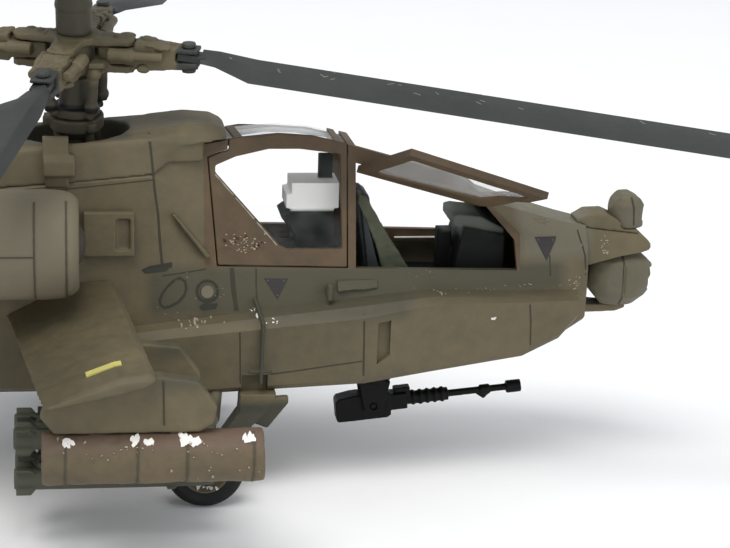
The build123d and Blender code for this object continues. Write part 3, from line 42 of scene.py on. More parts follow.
JOINTS = {j["name"]: j for j in frame["joints"]}
MM = 0.001
GUN = JOINTS["gun_azimuth"]["pos_m"]
GUN_STATION = 35.4          # how far the gun's pivot lies ahead of the mast, in millimetres
ZERO_X, ZERO_Y = GUN[0] - GUN_STATION * MM, GUN[1]
ROTOR_AZIMUTH = -15.0       # heading of the forward blade, in degrees
ARM_HEIGHT = 6.3            # how far the rotor arms lie above the mast's pivot, in millimetres
SIDES = ((-1, "right"), (1, "left"))
SCENE = bpy.context.scene


def st(x, y, z):
    """A point given in millimetres: x forward of the mast, y to port, z above the floor."""
    return Vector((x * MM + ZERO_X, y * MM + ZERO_Y, z * MM))


# ---------------------------------------------------------------- camera, light, floor
def place_camera():
    """Long lens from starboard, looking slightly forward and down, with a slight roll."""
    heading, dip, roll = math.radians(8.4), math.radians(16.2), math.radians(1.83)
    focal_per_width, sensor = 2040.0 / 730.0, 36.0
    place = st(-0.2, -232.6, 91.1)
    look = Vector((math.sin(heading) * math.cos(dip), math.cos(heading) * math.cos(dip), -math.sin(dip)))
    side = Vector((math.cos(heading), -math.sin(heading), 0))
    up = side.cross(look)
    right = side * math.cos(roll) + up * math.sin(roll)
    top = up * math.cos(roll) - side * math.sin(roll)
    cam = bpy.data.objects.new("camera", bpy.data.cameras.new("camera"))
    cam.data.sensor_width = sensor
    cam.data.lens = focal_per_width * sensor
    cam.data.clip_start, cam.data.clip_end = 0.01, 20.0
    stand = Matrix((right, top, -look)).transposed().to_4x4()
    stand.translation = place
    cam.matrix_world = stand
    SCENE.collection.objects.link(cam)
    SCENE.camera = cam


def area_light(name, place, target, size, power, tint=(1, 1, 1)):
    """A rectangular soft light at a place in metres, turned towards its target."""
    lamp = bpy.data.lights.new(name, "AREA")
    lamp.shape, lamp.size, lamp.size_y = "RECTANGLE", size[0], size[1]
    lamp.energy, lamp.color = power, tint
    holder = bpy.data.objects.new(name, lamp)
    holder.location = place
    holder.rotation_euler = (Vector(target) - Vector(place)).to_track_quat("-Z", "Y").to_euler()
    SCENE.collection.objects.link(holder)


def build_studio():
    """Pale sky light, a key light, a weak fill and a plain floor."""
    SCENE.view_settings.view_transform = "Standard"
    world = bpy.data.worlds.new("studio")
    SCENE.world = world
    world.use_nodes = True
    back = world.node_tree.nodes["Background"]
    back.inputs["Color"].default_value = (0.93, 0.96, 1.0, 1)
    back.inputs["Strength"].default_value = 0.75
    area_light("key", (-0.25, -0.45, 1.1), (0.03, 0, 0.02), (0.9, 0.7), 11.0, (1.0, 0.985, 0.96))
    area_light("fill", (0.9, -0.9, 0.5), (0.05, 0, 0.03), (0.8, 0.6), 3.0)
    bm = bmesh.new()
    bmesh.ops.create_grid(bm, x_segments=24, y_segments=24, size=3.0)
    mesh = bpy.data.meshes.new("floor")
    bm.to_mesh(mesh)
    bm.free()
    floor = bpy.data.objects.new("floor", mesh)
    SCENE.collection.objects.link(floor)
    mesh.materials.append(Paint("floor", (0.88, 0.88, 0.885), rough=0.6, vary=0.01, bump=0.0).material)


# ---------------------------------------------------------------- materials
NOISE = {"broad": 55.0, "blotch": 160.0, "fine": 700.0, "marks": 1700.0, "haze": 240.0}
BUMP_DEPTH = 0.00008
OPEN_SIDE = 0.5             # a zone edge further out than this, in metres, isn't an edge
HUB_END_COLOUR = (0.036, 0.038, 0.034)


def shade(colour, factor):
    """The colour made lighter or darker, with full opacity."""
    return tuple(min(1.0, c * factor) for c in colour[:3]) + (1.0,)


class Paint:
    """Hand-painted plastic: blotchy colour at two sizes, faint brush marks and slightly uneven gloss."""

    def __init__(self, name, colour, rough=0.6, vary=0.16, bump=0.3, warm=0.0, brush=(1, 1, 1), gloss=0.3,
                 zones=(), ends=False):
        self.material = bpy.data.materials.new(name)
        self.material.use_nodes = True
        self.tree = self.material.node_tree
        self.shader = self.tree.nodes["Principled BSDF"]
        self.coords = self.add("ShaderNodeTexCoord").outputs["Object"]
        broad = self.noise(NOISE["broad"], 3.0, 0.6, shift=3.0)
        blotch = self.noise(NOISE["blotch"], 4.0, 0.62)
        fine = self.noise(NOISE["fine"], 3.0, 0.6)
        marks = self.noise(NOISE["marks"], 2.0, 0.5, stretch=brush)
        mottle = self.mix_value(self.mix_value(broad, blotch, 0.5), fine, 0.3)
        low = shade(colour, 1 - vary)
        high = shade((colour[0] * (1 + warm), colour[1], colour[2] * (1 - warm)), 1 + vary)
        self.colour = self.ramp(mottle, 0.36, 0.64, low, high)
        for zone in zones:
            self.tone(*zone)
        if ends:
            self.rotor_ends(HUB_END_COLOUR, 12.3, 46.0)
        self.link(self.colour, self.shader.inputs["Base Color"])
        rough_out = self.map_range(fine, 0.3, 0.7, rough - 0.07, rough + 0.07)
        self.link(rough_out, self.shader.inputs["Roughness"])
        self.shader.inputs["Specular IOR Level"].default_value = gloss
        if bump:
            height = self.mix_value(marks, fine, 0.5)
            node = self.add("ShaderNodeBump")
            node.inputs["Strength"].default_value = bump
            node.inputs["Distance"].default_value = BUMP_DEPTH
            self.link(height, node.inputs["Height"])
            self.link(node.outputs["Normal"], self.shader.inputs["Normal"])

    def add(self, kind, **values):
        """A new shader node with some of its settings."""
        node = self.tree.nodes.new(kind)
        for key, value in values.items():
            setattr(node, key, value)
        return node

    def link(self, out, into):
        self.tree.links.new(out, into)

    def noise(self, scale, detail, roughness, stretch=(1, 1, 1), shift=0.0):
        """Noise in object space, stretched along an axis or shifted where asked."""
        mapping = self.add("ShaderNodeMapping")
        mapping.inputs["Scale"].default_value = stretch
        mapping.inputs["Location"].default_value = (shift, shift * 0.7, shift * 1.3)
        self.link(self.coords, mapping.inputs["Vector"])
        node = self.add("ShaderNodeTexNoise")
        node.inputs["Scale"].default_value = scale
        node.inputs["Detail"].default_value = detail
        node.inputs["Roughness"].default_value = roughness
        self.link(mapping.outputs["Vector"], node.inputs["Vector"])
        return node.outputs["Fac"]

    def map_range(self, value, from_low, from_high, to_low, to_high):
        """The value moved from one range to another, held at the ends."""
        node = self.add("ShaderNodeMapRange")
        limits = {"From Min": from_low, "From Max": from_high, "To Min": to_low, "To Max": to_high}
        for key, limit in limits.items():
            node.inputs[key].default_value = limit
        self.link(value, node.inputs["Value"])
        return node.outputs["Result"]

    def mix_value(self, a, b, share):
        """Blend of two values, with the given share of the second."""
        node = self.add("ShaderNodeMix", data_type="FLOAT")
        node.inputs["Factor"].default_value = share
        self.link(a, node.inputs["A"])
        self.link(b, node.inputs["B"])
        return node.outputs["Result"]

    def ramp(self, value, a, b, low, high):
        """Colour that runs from low at a to high at b."""
        node = self.add("ShaderNodeValToRGB")
        for stop, position, colour in zip(node.color_ramp.elements, (a, b), (low, high)):
            stop.position, stop.color = position, colour
        self.link(value, node.inputs["Fac"])
        return node.outputs["Color"]

    def product(self, a, b):
        """One value times another."""
        node = self.add("ShaderNodeMath", operation="MULTIPLY")
        self.link(a, node.inputs[0])
        self.link(b, node.inputs[1])
        return node.outputs["Value"]

    def tone(self, colour, low, high, blur=0.6):
        """Paints one box of the model, given in millimetres, in another colour with soft edges."""
        split = self.split_coords()
        share = None
        a, b = st(*low), st(*high)
        for k, axis in enumerate("XYZ"):
            for edge, sign in ((a[k], 1), (b[k], -1)):
                if abs(edge) > OPEN_SIDE:
                    continue
                soft = blur * MM
                start, end = (edge - soft, edge + soft) if sign > 0 else (edge + soft, edge - soft)
                part = self.map_range(split.outputs[axis], start, end, 0.0, 1.0)
                share = part if share is None else self.product(share, part)
        self.cover(colour, share)

    def rotor_ends(self, colour, radius, height):
        """Paints the ends of the rotor arms, past the radius and above the height, in another colour."""
        split = self.split_coords()
        flat = self.add("ShaderNodeCombineXYZ")
        centre = st(0, 0, 0)
        for k, axis in enumerate("XY"):
            shift = self.add("ShaderNodeMath", operation="SUBTRACT")
            shift.inputs[1].default_value = centre[k]
            self.link(split.outputs[axis], shift.inputs[0])
            self.link(shift.outputs["Value"], flat.inputs[axis])
        reach = self.add("ShaderNodeVectorMath", operation="LENGTH")
        self.link(flat.outputs["Vector"], reach.inputs[0])
        inner, outer = (radius - 0.15) * MM, (radius + 0.15) * MM
        far = self.map_range(reach.outputs["Value"], inner, outer, 0.0, 1.0)
        past_blades = 3 * radius * MM
        near = self.map_range(reach.outputs["Value"], past_blades, past_blades * 4 / 3, 1.0, 0.0)
        high = self.map_range(split.outputs["Z"], (height - 1) * MM, height * MM, 0.0, 1.0)
        self.cover(colour, self.product(self.product(far, near), high))

    def split_coords(self):
        """The object coordinates as three separate values."""
        split = self.add("ShaderNodeSeparateXYZ")
        self.link(self.coords, split.inputs["Vector"])
        return split

    def cover(self, colour, share):
        """Lays another colour over the paint where the share is 1."""
        node = self.add("ShaderNodeMix", data_type="RGBA")
        node.inputs[7].default_value = (*colour, 1.0)
        self.link(share, node.inputs["Factor"])
        self.link(self.colour, node.inputs[6])
        self.colour = node.outputs[2]


def glass_material(name, least, most):
    """Thin clear plastic: mostly see-through, with an uneven white haze between two strengths, and a painted
    reflection that whitens the roof towards its top.
    """
    paint = Paint(name, (0.9, 0.92, 0.91), rough=0.16, vary=0.02, bump=0.0)
    tree = paint.tree
    clear = paint.add("ShaderNodeBsdfTransparent")
    mix = paint.add("ShaderNodeMixShader")
    haze = paint.map_range(paint.noise(NOISE["haze"], 4.0, 0.65, shift=1.0), 0.42, 0.66, least, most)
    height = paint.split_coords().outputs["Z"]
    # Painted reflection: the panes turn whiter towards the top of the roof.
    roof_painted_reflection = paint.map_range(height, 38.9 * MM, 40.0 * MM, 0.0, 0.3)
    whole = paint.add("ShaderNodeMath", operation="ADD")
    paint.link(haze, whole.inputs[0])
    paint.link(roof_painted_reflection, whole.inputs[1])
    paint.link(whole.outputs["Value"], mix.inputs["Fac"])
    paint.link(clear.outputs["BSDF"], mix.inputs[1])
    paint.link(paint.shader.outputs["BSDF"], mix.inputs[2])
    paint.link(mix.outputs["Shader"], tree.nodes["Material Output"].inputs["Surface"])
    return paint


FAR = 900.0
OLIVE = (0.104, 0.0905, 0.0545)
PAINTS = {
    "olive_paint": dict(colour=OLIVE, vary=0.21, bump=0.4, warm=0.08, brush=(1, 1, 3), zones=[
        # Painted shade: darker bands along the lower sides below both cockpit sills.
        ((0.07, 0.064, 0.04), (8.0, -FAR, 20.4), (38.0, FAR, 25.9), 0.8),
        ((0.07, 0.064, 0.04), (37.0, -FAR, 22.6), (57.0, FAR, 26.0), 0.8),
        # Painted highlight: a lighter patch on the upper nose ahead of the front cockpit.
        ((0.138, 0.124, 0.085), (51.5, -FAR, 26.2), (60.8, FAR, 33.0), 0.8),
        # Painted highlight: lighter engine nacelles on both sides.
        ((0.158, 0.139, 0.093), (-40.0, -30.0, 25.0), (0.5, -10.0, 40.0), 1.2),
        ((0.158, 0.139, 0.093), (-40.0, 10.0, 25.0), (0.5, 30.0, 40.0), 1.2),
        # Painted shade: darker round the mast base under the rotor head; a thin near-black band runs round
        # the mast.
        ((0.052, 0.047, 0.03), (-6.0, -6.0, 38.0), (6.0, 6.0, 46.6), 0.5),
        ((0.012, 0.012, 0.01), (-3.4, -4.0, 43.0), (3.4, 4.0, 43.7), 0.12),
        # Painted shade: darker main legs under the wings and pods, on both sides.
        ((0.045, 0.043, 0.029), (10.0, -19.0, 1.0), (25.0, -8.6, 10.9), 0.5),
        ((0.045, 0.043, 0.029), (10.0, 8.6, 1.0), (25.0, 19.0, 10.9), 0.5)], ends=True),
    "canopy_paint": dict(colour=(0.092, 0.067, 0.041), warm=0.1, brush=(1, 1, 3), vary=0.26),
    "sensor_paint": dict(colour=(0.108, 0.096, 0.063), brush=(3, 1, 1)),
    "pod_paint": dict(colour=(0.108, 0.089, 0.056), vary=0.24, warm=0.12, brush=(1, 3, 3), zones=[
        ((0.118, 0.08, 0.055), (-FAR, -FAR, 14.4), (FAR, FAR, 17.0), 0.5)]),
    "rack_paint": dict(colour=(0.05, 0.049, 0.035)),
    "missile_paint": dict(colour=(0.062, 0.065, 0.046)),
    "rotor_metal": dict(colour=(0.04, 0.042, 0.036), rough=0.5),
    "blade_paint": dict(colour=(0.0275, 0.0295, 0.0282), rough=0.52, vary=0.24),
    "radome_paint": dict(colour=(0.056, 0.052, 0.034)),
    "cockpit_black": dict(colour=(0.005, 0.006, 0.005), rough=0.65, gloss=0.18, zones=[
        ((0.095, 0.102, 0.088), (43.0, -3.7, 28.4), (51.0, 3.7, 32.0), 0.3)]),
    "console_grey": dict(colour=(0.008, 0.0095, 0.009), rough=0.75, gloss=0.07, zones=[
        ((0.78, 0.78, 0.75), (23.0, -3.2, 31.5), (31.5, 3.2, 34.75), 0.15)]),
    "seat_blue": dict(colour=(0.03, 0.035, 0.037), rough=0.65),
    "strap_green": dict(colour=(0.074, 0.08, 0.05), rough=0.8, vary=0.42, bump=0.6),
    "engine_dark": dict(colour=(0.05, 0.042, 0.034), rough=0.6),
    "gun_black": dict(colour=(0.0028, 0.0032, 0.0026), rough=0.5, vary=0.25, gloss=0.16),
    "tyre_black": dict(colour=(0.01, 0.01, 0.01), rough=0.72, vary=0.25),
    "rim_brown": dict(colour=(0.1, 0.082, 0.052)),
}
TRIM = {
    "line_dark": dict(colour=(0.04, 0.036, 0.022), rough=0.7, bump=0.0),
    "line_faint": dict(colour=(0.066, 0.056, 0.036), rough=0.7, bump=0.0),
    "mark_dark": dict(colour=(0.034, 0.03, 0.03), rough=0.55, bump=0.1),
    "mark_green": dict(colour=(0.027, 0.029, 0.019), rough=0.6, bump=0.1),
    "mark_yellow": dict(colour=(0.54, 0.49, 0.15), rough=0.6, bump=0.1),
    "bare_plastic": dict(colour=(0.3, 0.27, 0.2), rough=0.5, bump=0.1),
    "chip_white": dict(colour=(0.8, 0.78, 0.73), rough=0.5, bump=0.1),
    "chip_rust": dict(colour=(0.1, 0.06, 0.035), rough=0.5, bump=0.1),
    "scuff_light": dict(colour=(0.15, 0.135, 0.095), rough=0.6, bump=0.1),
}


def soften(obj, width=0.00016, angle=32.0, segments=2):
    """Close the shared edges of a CAD mesh, round them over and shade it smooth."""
    weld = obj.modifiers.new("weld", "WELD")
    weld.merge_threshold = 2e-6
    bevel = obj.modifiers.new("edge", "BEVEL")
    bevel.width, bevel.segments = width, segments
    bevel.limit_method, bevel.angle_limit = "ANGLE", math.radians(angle)
    bevel.use_clamp_overlap = True
    bevel.miter_outer = "MITER_ARC"
    bevel.harden_normals = False
    for p in obj.data.polygons:
        p.use_smooth = True
    normals = obj.modifiers.new("normals", "WEIGHTED_NORMAL")
    normals.keep_sharp = True


def melt(obj, voxel, rounds, lumps=0.0, lump_size=2.0):
    """Give a small casting its thick-paint look: soft edges and slightly uneven faces."""
    remesh = obj.modifiers.new("cast", "REMESH")
    remesh.mode, remesh.voxel_size = "VOXEL", voxel * MM
    remesh.use_smooth_shade = True
    smooth = obj.modifiers.new("round_over", "SMOOTH")
    smooth.factor, smooth.iterations = 0.5, rounds
    if lumps:
        clouds = bpy.data.textures.new("lumps_" + obj.name, "CLOUDS")
        clouds.noise_scale = lump_size * MM
        push = obj.modifiers.new("lumps", "DISPLACE")
        push.texture, push.strength, push.mid_level = clouds, lumps * MM, 0.5


# ---------------------------------------------------------------- thin painted pieces that follow the skin
class Skin:
    """Finds the outer surface of some CAD nodes, looking from one side or from above."""

    def __init__(self, *names, axis="y", side=-1):
        self.axis, self.side = axis, side
        vertices, faces = [], []
        for name in names:
            mesh = NODES[name].data
            start = len(vertices)
            vertices += [NODES[name].matrix_world @ v.co for v in mesh.vertices]
            faces += [tuple(start + i for i in p.vertices) for p in mesh.polygons]
        self.tree = BVHTree.FromPolygons(vertices, faces)

    def at(self, u, v, lift=0.0):
        """Surface point in metres for (x, z) seen from the side or (x, y) seen from above."""
        if self.axis == "y":
            start, way = st(u, self.side * 90, v), Vector((0, -self.side, 0))
        else:
            start, way = st(u, v * self.side, 90), Vector((0, 0, -1))
        place, normal, _, _ = self.tree.ray_cast(start, way)
        if place is None:
            return None
        return place + normal * (lift * MM)


def new_mesh(name, bm, material, body):
    """Turn a finished bmesh into a piece that rides on a body."""
    bmesh.ops.recalc_face_normals(bm, faces=bm.faces)
    mesh = bpy.data.meshes.new(name)
    bm.to_mesh(mesh)
    bm.free()
    for p in mesh.polygons:
        p.use_smooth = False
    mesh.materials.append(MATERIALS[material])
    obj = bpy.data.objects.new(name, mesh)
    SCENE.collection.objects.link(obj)
    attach(obj, body)
    return obj


def closed_sheet(bm, rows):
    """Closed thin solid from matching grids of top and bottom points, rows x columns."""
    made = [[[bm.verts.new(p) for p in row] for row in layer] for layer in rows]
    top, under = made
    n, m = len(top), len(top[0])
    for i in range(n - 1):
        for j in range(m - 1):
            bm.faces.new((top[i][j], top[i][j + 1], top[i + 1][j + 1], top[i + 1][j]))
            bm.faces.new((under[i][j], under[i + 1][j], under[i + 1][j + 1], under[i][j + 1]))
    edge = [(i, 0) for i in range(n)] + [(n - 1, j) for j in range(1, m)]
    edge += [(i, m - 1) for i in range(n - 2, -1, -1)] + [(0, j) for j in range(m - 2, 0, -1)]
    for a, b in zip(edge, edge[1:] + edge[:1]):
        bm.faces.new((top[a[0]][a[1]], top[b[0]][b[1]], under[b[0]][b[1]], under[a[0]][a[1]]))


def dense(points, step, loop=False):
    """The same path with points no further apart than the step."""
    out = []
    pairs = list(zip(points, points[1:] + points[:1] if loop else points[1:]))
    for a, b in pairs:
        a, b = Vector(a), Vector(b)
        count = max(1, math.ceil((b - a).length / step))
        out += [a.lerp(b, k / count) for k in range(count)]
    return out if loop else out + [Vector(points[-1])]


def strip(bm, skin, points, width, lift=0.03, sink=0.08, step=0.8, loop=False, jitter=0.0, seed=1):
    """A ribbon of paint of the given width laid on the skin along a path."""
    rng = random.Random(seed)
    path = dense(points, step, loop)
    if loop:
        path = path + [path[0]]
    rows = []
    for k, p in enumerate(path):
        before = path[k - 1] if k else (path[-2] if loop else p)
        after = path[k + 1] if k < len(path) - 1 else (path[1] if loop else p)
        way = (after - before).normalized()
        across = Vector((-way.y, way.x)) * (width / 2) * (1 + rng.uniform(-jitter, jitter))
        pair = [p + across, p - across]
        tops = [skin.at(q.x, q.y, lift) for q in pair]
        unders = [skin.at(q.x, q.y, -sink) for q in pair]
        if None in tops or None in unders:
            rows.append(None)
        else:
            rows.append((tops, unders))
    longest_jump = 3.0 * step * MM + 0.0012
    run = []
    for row in rows + [None]:
        if row is None or (run and (row[0][0] - run[-1][0][0]).length > longest_jump):
            if len(run) > 1:
                closed_sheet(bm, ([r[0] for r in run], [r[1] for r in run]))
            run = []
        if row is not None:
            run.append(row)


def patch(bm, skin, outline, lift=0.04, sink=0.08, cuts=2):
    """A filled mark with the given outline laid on the skin."""
    flat = bmesh.new()
    flat.faces.new([flat.verts.new((p[0], p[1], 0)) for p in outline])
    bmesh.ops.triangulate(flat, faces=flat.faces)
    bmesh.ops.subdivide_edges(flat, edges=flat.edges, cuts=cuts, use_grid_fill=True)
    bmesh.ops.triangulate(flat, faces=flat.faces)
    places = [(skin.at(v.co.x, v.co.y, lift), skin.at(v.co.x, v.co.y, -sink)) for v in flat.verts]
    if any(None in pair for pair in places):
        flat.free()
        return
    flat.verts.index_update()
    tops = [bm.verts.new(p[0]) for p in places]
    unders = [bm.verts.new(p[1]) for p in places]
    for f in flat.faces:
        ids = [v.index for v in f.verts]
        bm.faces.new([tops[i] for i in ids])
        bm.faces.new([unders[i] for i in reversed(ids)])
    for e in flat.edges:
        if len(e.link_faces) == 1:
            i, j = [v.index for v in e.verts]
            bm.faces.new((tops[i], tops[j], unders[j], unders[i]))
    flat.free()


def flake(rng, centre, size):
    """Ragged outline of one paint chip."""
    count = rng.randint(5, 8)
    turn = rng.uniform(0, 6.28)
    flat = rng.uniform(0.35, 0.9)
    lean = rng.uniform(-0.6, 0.6)
    out = []
    for k in range(count):
        a = turn + 2 * math.pi * k / count
        r = size * rng.uniform(0.55, 1.0)
        u, v = r * math.cos(a), r * math.sin(a) * flat
        out.append((centre[0] + u * math.cos(lean) - v * math.sin(lean),
                    centre[1] + u * math.sin(lean) + v * math.cos(lean)))
    return out


def scatter(name, skin, material, body, centres, spread, count, sizes, seed, lift=0.05):
    """Paint chips scattered round some places on the skin."""
    rng = random.Random(seed)
    bm = bmesh.new()
    for centre in centres:
        for _ in range(count):
            place = (centre[0] + rng.gauss(0, spread[0]), centre[1] + rng.gauss(0, spread[1]))
            patch(bm, skin, flake(rng, place, rng.uniform(*sizes)), lift=lift, cuts=0)
    new_mesh(name, bm, material, body)


HULL = ("fuselage_right_half", "fuselage_left_half", "cheek_bay_right", "cheek_bay_left", "nose_cowl",
        "transmission_cowl")


# paths of the body shells' seams as (x, z) points, each with its width
SEAMS = [
    ([(8.1, 41.2), (8.4, 38.5), (8.7, 35.1), (9.1, 32.2), (9.3, 29.2), (9.6, 26.0)], 0.28),
    ([(-24.0, 34.0), (-12.0, 34.5), (-1.9, 35.2), (8.6, 36.3)], 0.14),
    ([(9.6, 25.0), (13.9, 25.5), (15.3, 25.8)], 0.16),
    ([(17.6, 25.7), (17.75, 23.4), (18.1, 20.9)], 0.55),
    ([(20.4, 25.6), (20.4, 23.8), (20.5, 21.2)], 0.2),
    ([(18.3, 19.2), (18.4, 15.0), (18.5, 11.6)], 0.16),
    ([(32.6, 21.1), (32.7, 17.4), (32.8, 12.2)], 0.22),
    ([(52.4, 22.2), (52.7, 19.5), (52.9, 15.0)], 0.2),
    ([(21.4, 13.9), (25.3, 14.4), (28.8, 14.9), (32.6, 15.4)], 0.16),
    ([(59.1, 29.0), (59.4, 27.8), (59.9, 26.2), (60.0, 23.9)], 0.2),
    ([(55.3, 26.6), (55.4, 24.2)], 0.16),
    ([(-14.0, 34.8), (-14.4, 27.0), (-14.6, 20.0)], 0.18),
    ([(-34.0, 31.6), (-34.6, 25.0), (-34.8, 18.8)], 0.18),
    ([(-58.0, 28.6), (-58.4, 24.0), (-58.6, 19.2)], 0.18),
    ([(-84.0, 27.8), (-84.3, 18.9)], 0.18),
    ([(-104.0, 27.8), (-104.3, 19.9)], 0.18),
    ([(-14.6, 26.6), (-34.6, 26.2), (-58.4, 25.6), (-84.2, 24.9)], 0.16),
    ([(-132.6, 29.4), (-133.2, 40.0), (-133.6, 50.8)], 0.2),
    ([(-126.4, 45.2), (-136.4, 45.2)], 0.16),
    ([(-117.2, 32.4), (-132.7, 32.4)], 0.16),
]


def panel_lines():
    """Moulded seams of the body shells, the same on both sides."""
    for side, word in SIDES:
        skin = Skin(*HULL, side=side)
        bm = bmesh.new()
        for k, (points, width) in enumerate(SEAMS):
            strip(bm, skin, points, width, lift=0.02, jitter=0.12, seed=k)
        new_mesh("panel_lines_" + word, bm, "line_dark", "airframe")


def nacelle_bands():
    """Seams round both engine nacelles."""
    for side, word in SIDES:
        skin = Skin("nacelles", side=side)
        bm = bmesh.new()
        for x in (-4.6, -1.2, -12.5, -18.0):
            strip(bm, skin, [(x, 25.4), (x, 36.2)], 0.2, lift=0.08, step=0.5, jitter=0.12)
        strip(bm, skin, [(-18.0, 31.0), (-4.6, 31.0)], 0.15, lift=0.08)
        new_mesh("nacelle_seams_" + word, bm, "line_faint", "airframe")


def pod_bands():
    """Raised clamp seams round the rocket pods and the split line along the pylons."""
    for side, word in SIDES:
        skin = Skin("rocket_pods", side=side)
        bm = bmesh.new()
        for k, x in enumerate((-1.5, 5.9, 11.0, 17.9)):
            strip(bm, skin, [(x, 10.05), (x + 0.1, 15.55)], 0.24, lift=0.09, step=0.4, jitter=0.3, seed=k)
        new_mesh("pod_seams_" + word, bm, "line_faint", "airframe")
        bm = bmesh.new()
        strip(bm, Skin("pylons", side=side), [(8.6, 21.4), (8.7, 16.6)], 0.16, lift=0.09, step=0.4)
        new_mesh("pylon_seam_" + word, bm, "line_dark", "airframe")


def warning_marks():
    """Dark warning triangles, access outlines and footstep bars, without any lettering."""
    ring = [(14.75 + 1.2 * math.cos(a), 23.1 + 1.18 * math.sin(a))
            for a in (math.radians(d) for d in range(0, 360, 15))]
    lens = [(14.75 + 0.72 * math.cos(a), 23.05 + 0.72 * math.sin(a))
            for a in (math.radians(d) for d in range(0, 360, 20))]
    oval = [(10.9, 24.4), (11.6, 24.7), (12.2, 24.3), (12.35, 23.5), (12.1, 22.7), (11.4, 21.95),
            (10.5, 21.5), (9.8, 21.35), (9.35, 21.7), (9.3, 22.3), (9.6, 23.0), (10.2, 23.8)]
    specks = [(21.75, 24.25), (23.6, 24.2), (22.85, 22.6), (53.85, 28.45), (55.7, 28.3), (54.95, 26.5)]
    for side, word in SIDES:
        skin = Skin(*HULL, side=side)
        bm = bmesh.new()
        patch(bm, skin, [(21.3, 24.5), (24.1, 24.45), (22.85, 22.1)])
        patch(bm, skin, [(53.4, 28.75), (56.2, 28.6), (54.9, 26.0)], lift=0.07, cuts=5)
        new_mesh("warning_triangles_" + word, bm, "mark_dark", "airframe")
        bm = bmesh.new()
        for x, z in specks:
            patch(bm, skin, [(x - 0.09, z - 0.07), (x + 0.09, z - 0.06), (x, z + 0.1)], lift=0.06, cuts=0)
        tick = [(53.6, 30.6), (54.9, 30.5), (55.5, 30.15), (54.2, 30.2)]
        strip(bm, skin, tick, 0.1, lift=0.05, loop=True, step=0.3)
        new_mesh("triangle_ticks_" + word, bm, "scuff_light", "airframe")
        bm = bmesh.new()
        strip(bm, skin, oval, 0.3, loop=True, step=0.4, jitter=0.15)
        strip(bm, skin, ring, 0.34, loop=True, step=0.4, jitter=0.15)
        patch(bm, skin, [(7.2, 25.75), (8.2, 26.2), (10.7, 26.55), (10.75, 26.0), (9.9, 25.5), (7.6, 25.3)])
        patch(bm, skin, [(13.8, 21.4), (14.2, 21.7), (16.0, 21.75), (15.7, 21.15), (14.1, 20.95)])
        new_mesh("access_marks_" + word, bm, "mark_green", "airframe")
        bm = bmesh.new()
        patch(bm, skin, lens, lift=0.22)
        new_mesh("access_lens_" + word, bm, "scuff_light", "airframe")
        bm = bmesh.new()
        patch(bm, Skin("wing_right", "wing_left", axis="z", side=side),
              [(0.7, 31.7), (4.3, 31.5), (4.4, 32.5), (0.8, 32.75)], lift=0.16, cuts=4)
        new_mesh("wing_stripe_" + word, bm, "mark_yellow", "airframe")


def worn_places():
    """Bare plastic, white primer and rust-brown chips where the paint has been knocked off."""
    right = Skin(*HULL)
    scatter("sill_chips", right, "bare_plastic", "airframe", [(12.6, 19.75), (14.6, 20.05)], (0.8, 0.12), 9,
            (0.07, 0.24), 3)
    scatter("chine_chips", right, "bare_plastic", "airframe",
            [(41.5, 22.9), (46.5, 22.9), (51.5, 23.4), (57.2, 23.0)], (1.4, 0.12), 7, (0.05, 0.16), 4)
    scatter("bay_chip", right, "chip_white", "airframe", [(48.15, 20.0)], (0.12, 0.03), 3, (0.18, 0.3), 5)
    scatter("beak_chips", right, "bare_plastic", "airframe", [(62.7, 27.6), (62.6, 26.4), (58.6, 23.4)],
            (0.35, 0.6), 12, (0.06, 0.2), 6)
    scatter("step_chips", right, "chip_white", "airframe", [(20.3, 21.0), (22.2, 20.3)], (0.35, 0.3), 6,
            (0.06, 0.18), 7)
    scatter("cowl_chips", right, "scuff_light", "airframe",
            [(12.5, 25.2), (15.4, 23.0), (40.0, 24.9), (55.0, 30.0), (46.0, 25.0), (11.0, 20.6)],
            (1.5, 0.5), 9, (0.05, 0.16), 8)
    scatter("port_chips", Skin(*HULL, side=1), "bare_plastic", "airframe",
            [(13.0, 20.0), (47.0, 22.9), (62.7, 27.0), (-3.0, 24.0)], (1.0, 0.3), 8, (0.06, 0.2), 9)
    door = Skin("rear_door_frame")
    scatter("door_chips", door, "bare_plastic", "rear_door", [(18.4, 28.9), (19.3, 28.3)], (1.0, 0.55), 26,
            (0.05, 0.2), 10, lift=0.07)
    scatter("door_rust", door, "chip_rust", "rear_door", [(18.4, 28.7), (19.6, 28.4)], (1.1, 0.6), 12,
            (0.3, 0.75), 11, lift=0.03)
    pods = Skin("rocket_pods")
    scatter("pod_chips", pods, "chip_white", "airframe",
            [(-1.0, 15.0), (5.7, 15.05), (6.9, 14.95), (10.9, 15.1), (12.1, 14.95), (17.3, 15.2)], (0.3, 0.1),
            7, (0.25, 0.55), 12, lift=0.16)
    scatter("pod_scrapes", pods, "bare_plastic", "airframe",
            [(-2.0, 14.4), (3.0, 14.0), (9.0, 14.6), (15.0, 14.2), (17.0, 12.0)], (2.4, 0.6), 9,
            (0.06, 0.22), 13, lift=0.16)
    scatter("rim_chips", Skin("main_rim_right"), "chip_white", "wheel_right", [(13.4, 2.2), (15.0, 2.25)],
            (0.5, 0.12), 8, (0.1, 0.26), 14)


def blade_scratches():
    """Fine pale scratches along the top of the forward blade."""
    names = [n for n in NODES if n.startswith("rotor_blade")]
    skin = Skin(*names, axis="z")
    rng = random.Random(21)
    bm = bmesh.new()
    for _ in range(26):
        r = rng.choice((rng.uniform(17, 24), rng.uniform(24, 60), rng.uniform(30, 95)))
        turn = math.radians(-ROTOR_AZIMUTH)
        off = rng.uniform(-2.4, 2.4)
        x, y = r * math.cos(turn) + off * math.sin(turn), r * math.sin(turn) - off * math.cos(turn)
        lean = turn + rng.uniform(-0.9, 0.9)
        long = rng.uniform(0.2, 0.9)
        strip(bm, skin, [(x, y + 0.1), (x + long * math.cos(lean), y + 0.1 + long * math.sin(lean))], 0.07,
              lift=0.02, step=0.4)
    new_mesh("blade_scratches", bm, "bare_plastic", "main_rotor")


